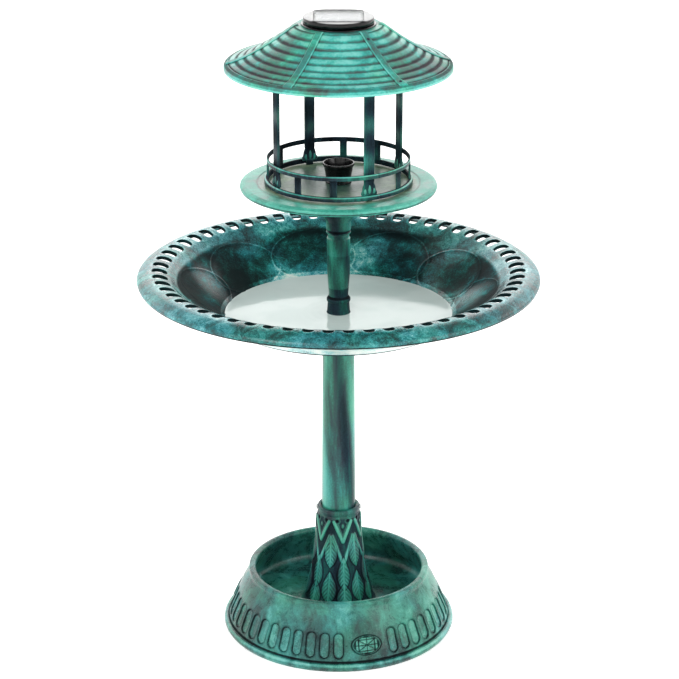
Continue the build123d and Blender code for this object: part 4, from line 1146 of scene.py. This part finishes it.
# ---------------------------------------------------------------- surroundings
def build_stage():
    """Pale round floor that curves up to a pale wall far outside every view."""
    flat, curve, top = 5000.0, 3000.0, 7000.0
    profile = [(0.0, 0.0), (flat, 0.0)]
    profile += [(flat + curve * math.sin(a), curve - curve * math.cos(a))
                for a in np.linspace(0, math.pi / 2, 24)[1:]]
    profile += [(flat + curve, top)]
    around = 96
    verts = [(r * x, r * y, z) for r, z in profile for x, y in bearings(around)]
    floor = weld(mesh_object("studio_floor", verts, grid_faces(len(profile), around, False, True)))
    m = Finish("studio_paper", Roughness=0.9, Emission_Color=(1, 1, 1, 1), Emission_Strength=0.4)
    m.feed("Base Color", m.mixed(m.noise(3), srgb("fbfbfa"), srgb("f8f8f7")))
    floor.data.materials.append(m.material)


def area_light(name, location, aim_height, size, radiance):
    """Rectangular soft light aimed at the object's axis; the world's white would be 1."""
    light = bpy.data.lights.new(name, "AREA")
    light.shape = "RECTANGLE"
    light.size, light.size_y = size
    light.energy = radiance * math.pi * size[0] * size[1]
    obj = bpy.data.objects.new(name, light)
    obj.location = location
    aim = Vector((0, 0, aim_height)) - Vector(location)
    obj.rotation_euler = aim.to_track_quat("-Z", "Y").to_euler()
    bpy.context.collection.objects.link(obj)


WORLD_STRENGTH = 0.48
CAMERA_LENS, CAMERA_SENSOR = 124.6, 36.0
CAMERA_LOCATION = (0.0015, -3.52, 1.837)
CAMERA_DOWN = 20.81

build_stage()
world = bpy.data.worlds.new("studio")
bpy.context.scene.world = world
world.use_nodes = True
background = world.node_tree.nodes["Background"]
background.inputs["Color"].default_value = (1.0, 1.0, 1.0, 1.0)
background.inputs["Strength"].default_value = WORLD_STRENGTH
area_light("key", (-1.8, -2.4, 3.2), 0.5, (1.6, 1.6), 6.8)
area_light("fill", (2.6, -2.0, 1.8), 0.5, (1.6, 2.2), 2.6)
area_light("back", (0, 3.2, 2.1), 0.7, (3.6, 1.5), 2.0)
area_light("back_left", (-3.0, 1.7, 1.9), 0.7, (2.4, 1.5), 1.8)
area_light("back_right", (3.0, 1.7, 1.9), 0.7, (2.4, 1.5), 1.8)

camera = bpy.data.cameras.new("camera")
camera.lens = CAMERA_LENS
camera.sensor_width = CAMERA_SENSOR
camera_obj = bpy.data.objects.new("camera", camera)
camera_obj.location = CAMERA_LOCATION
camera_obj.rotation_euler = (math.radians(90 - CAMERA_DOWN), 0, 0)
bpy.context.collection.objects.link(camera_obj)
bpy.context.scene.camera = camera_obj
bpy.context.scene.view_settings.view_transform = "Standard"
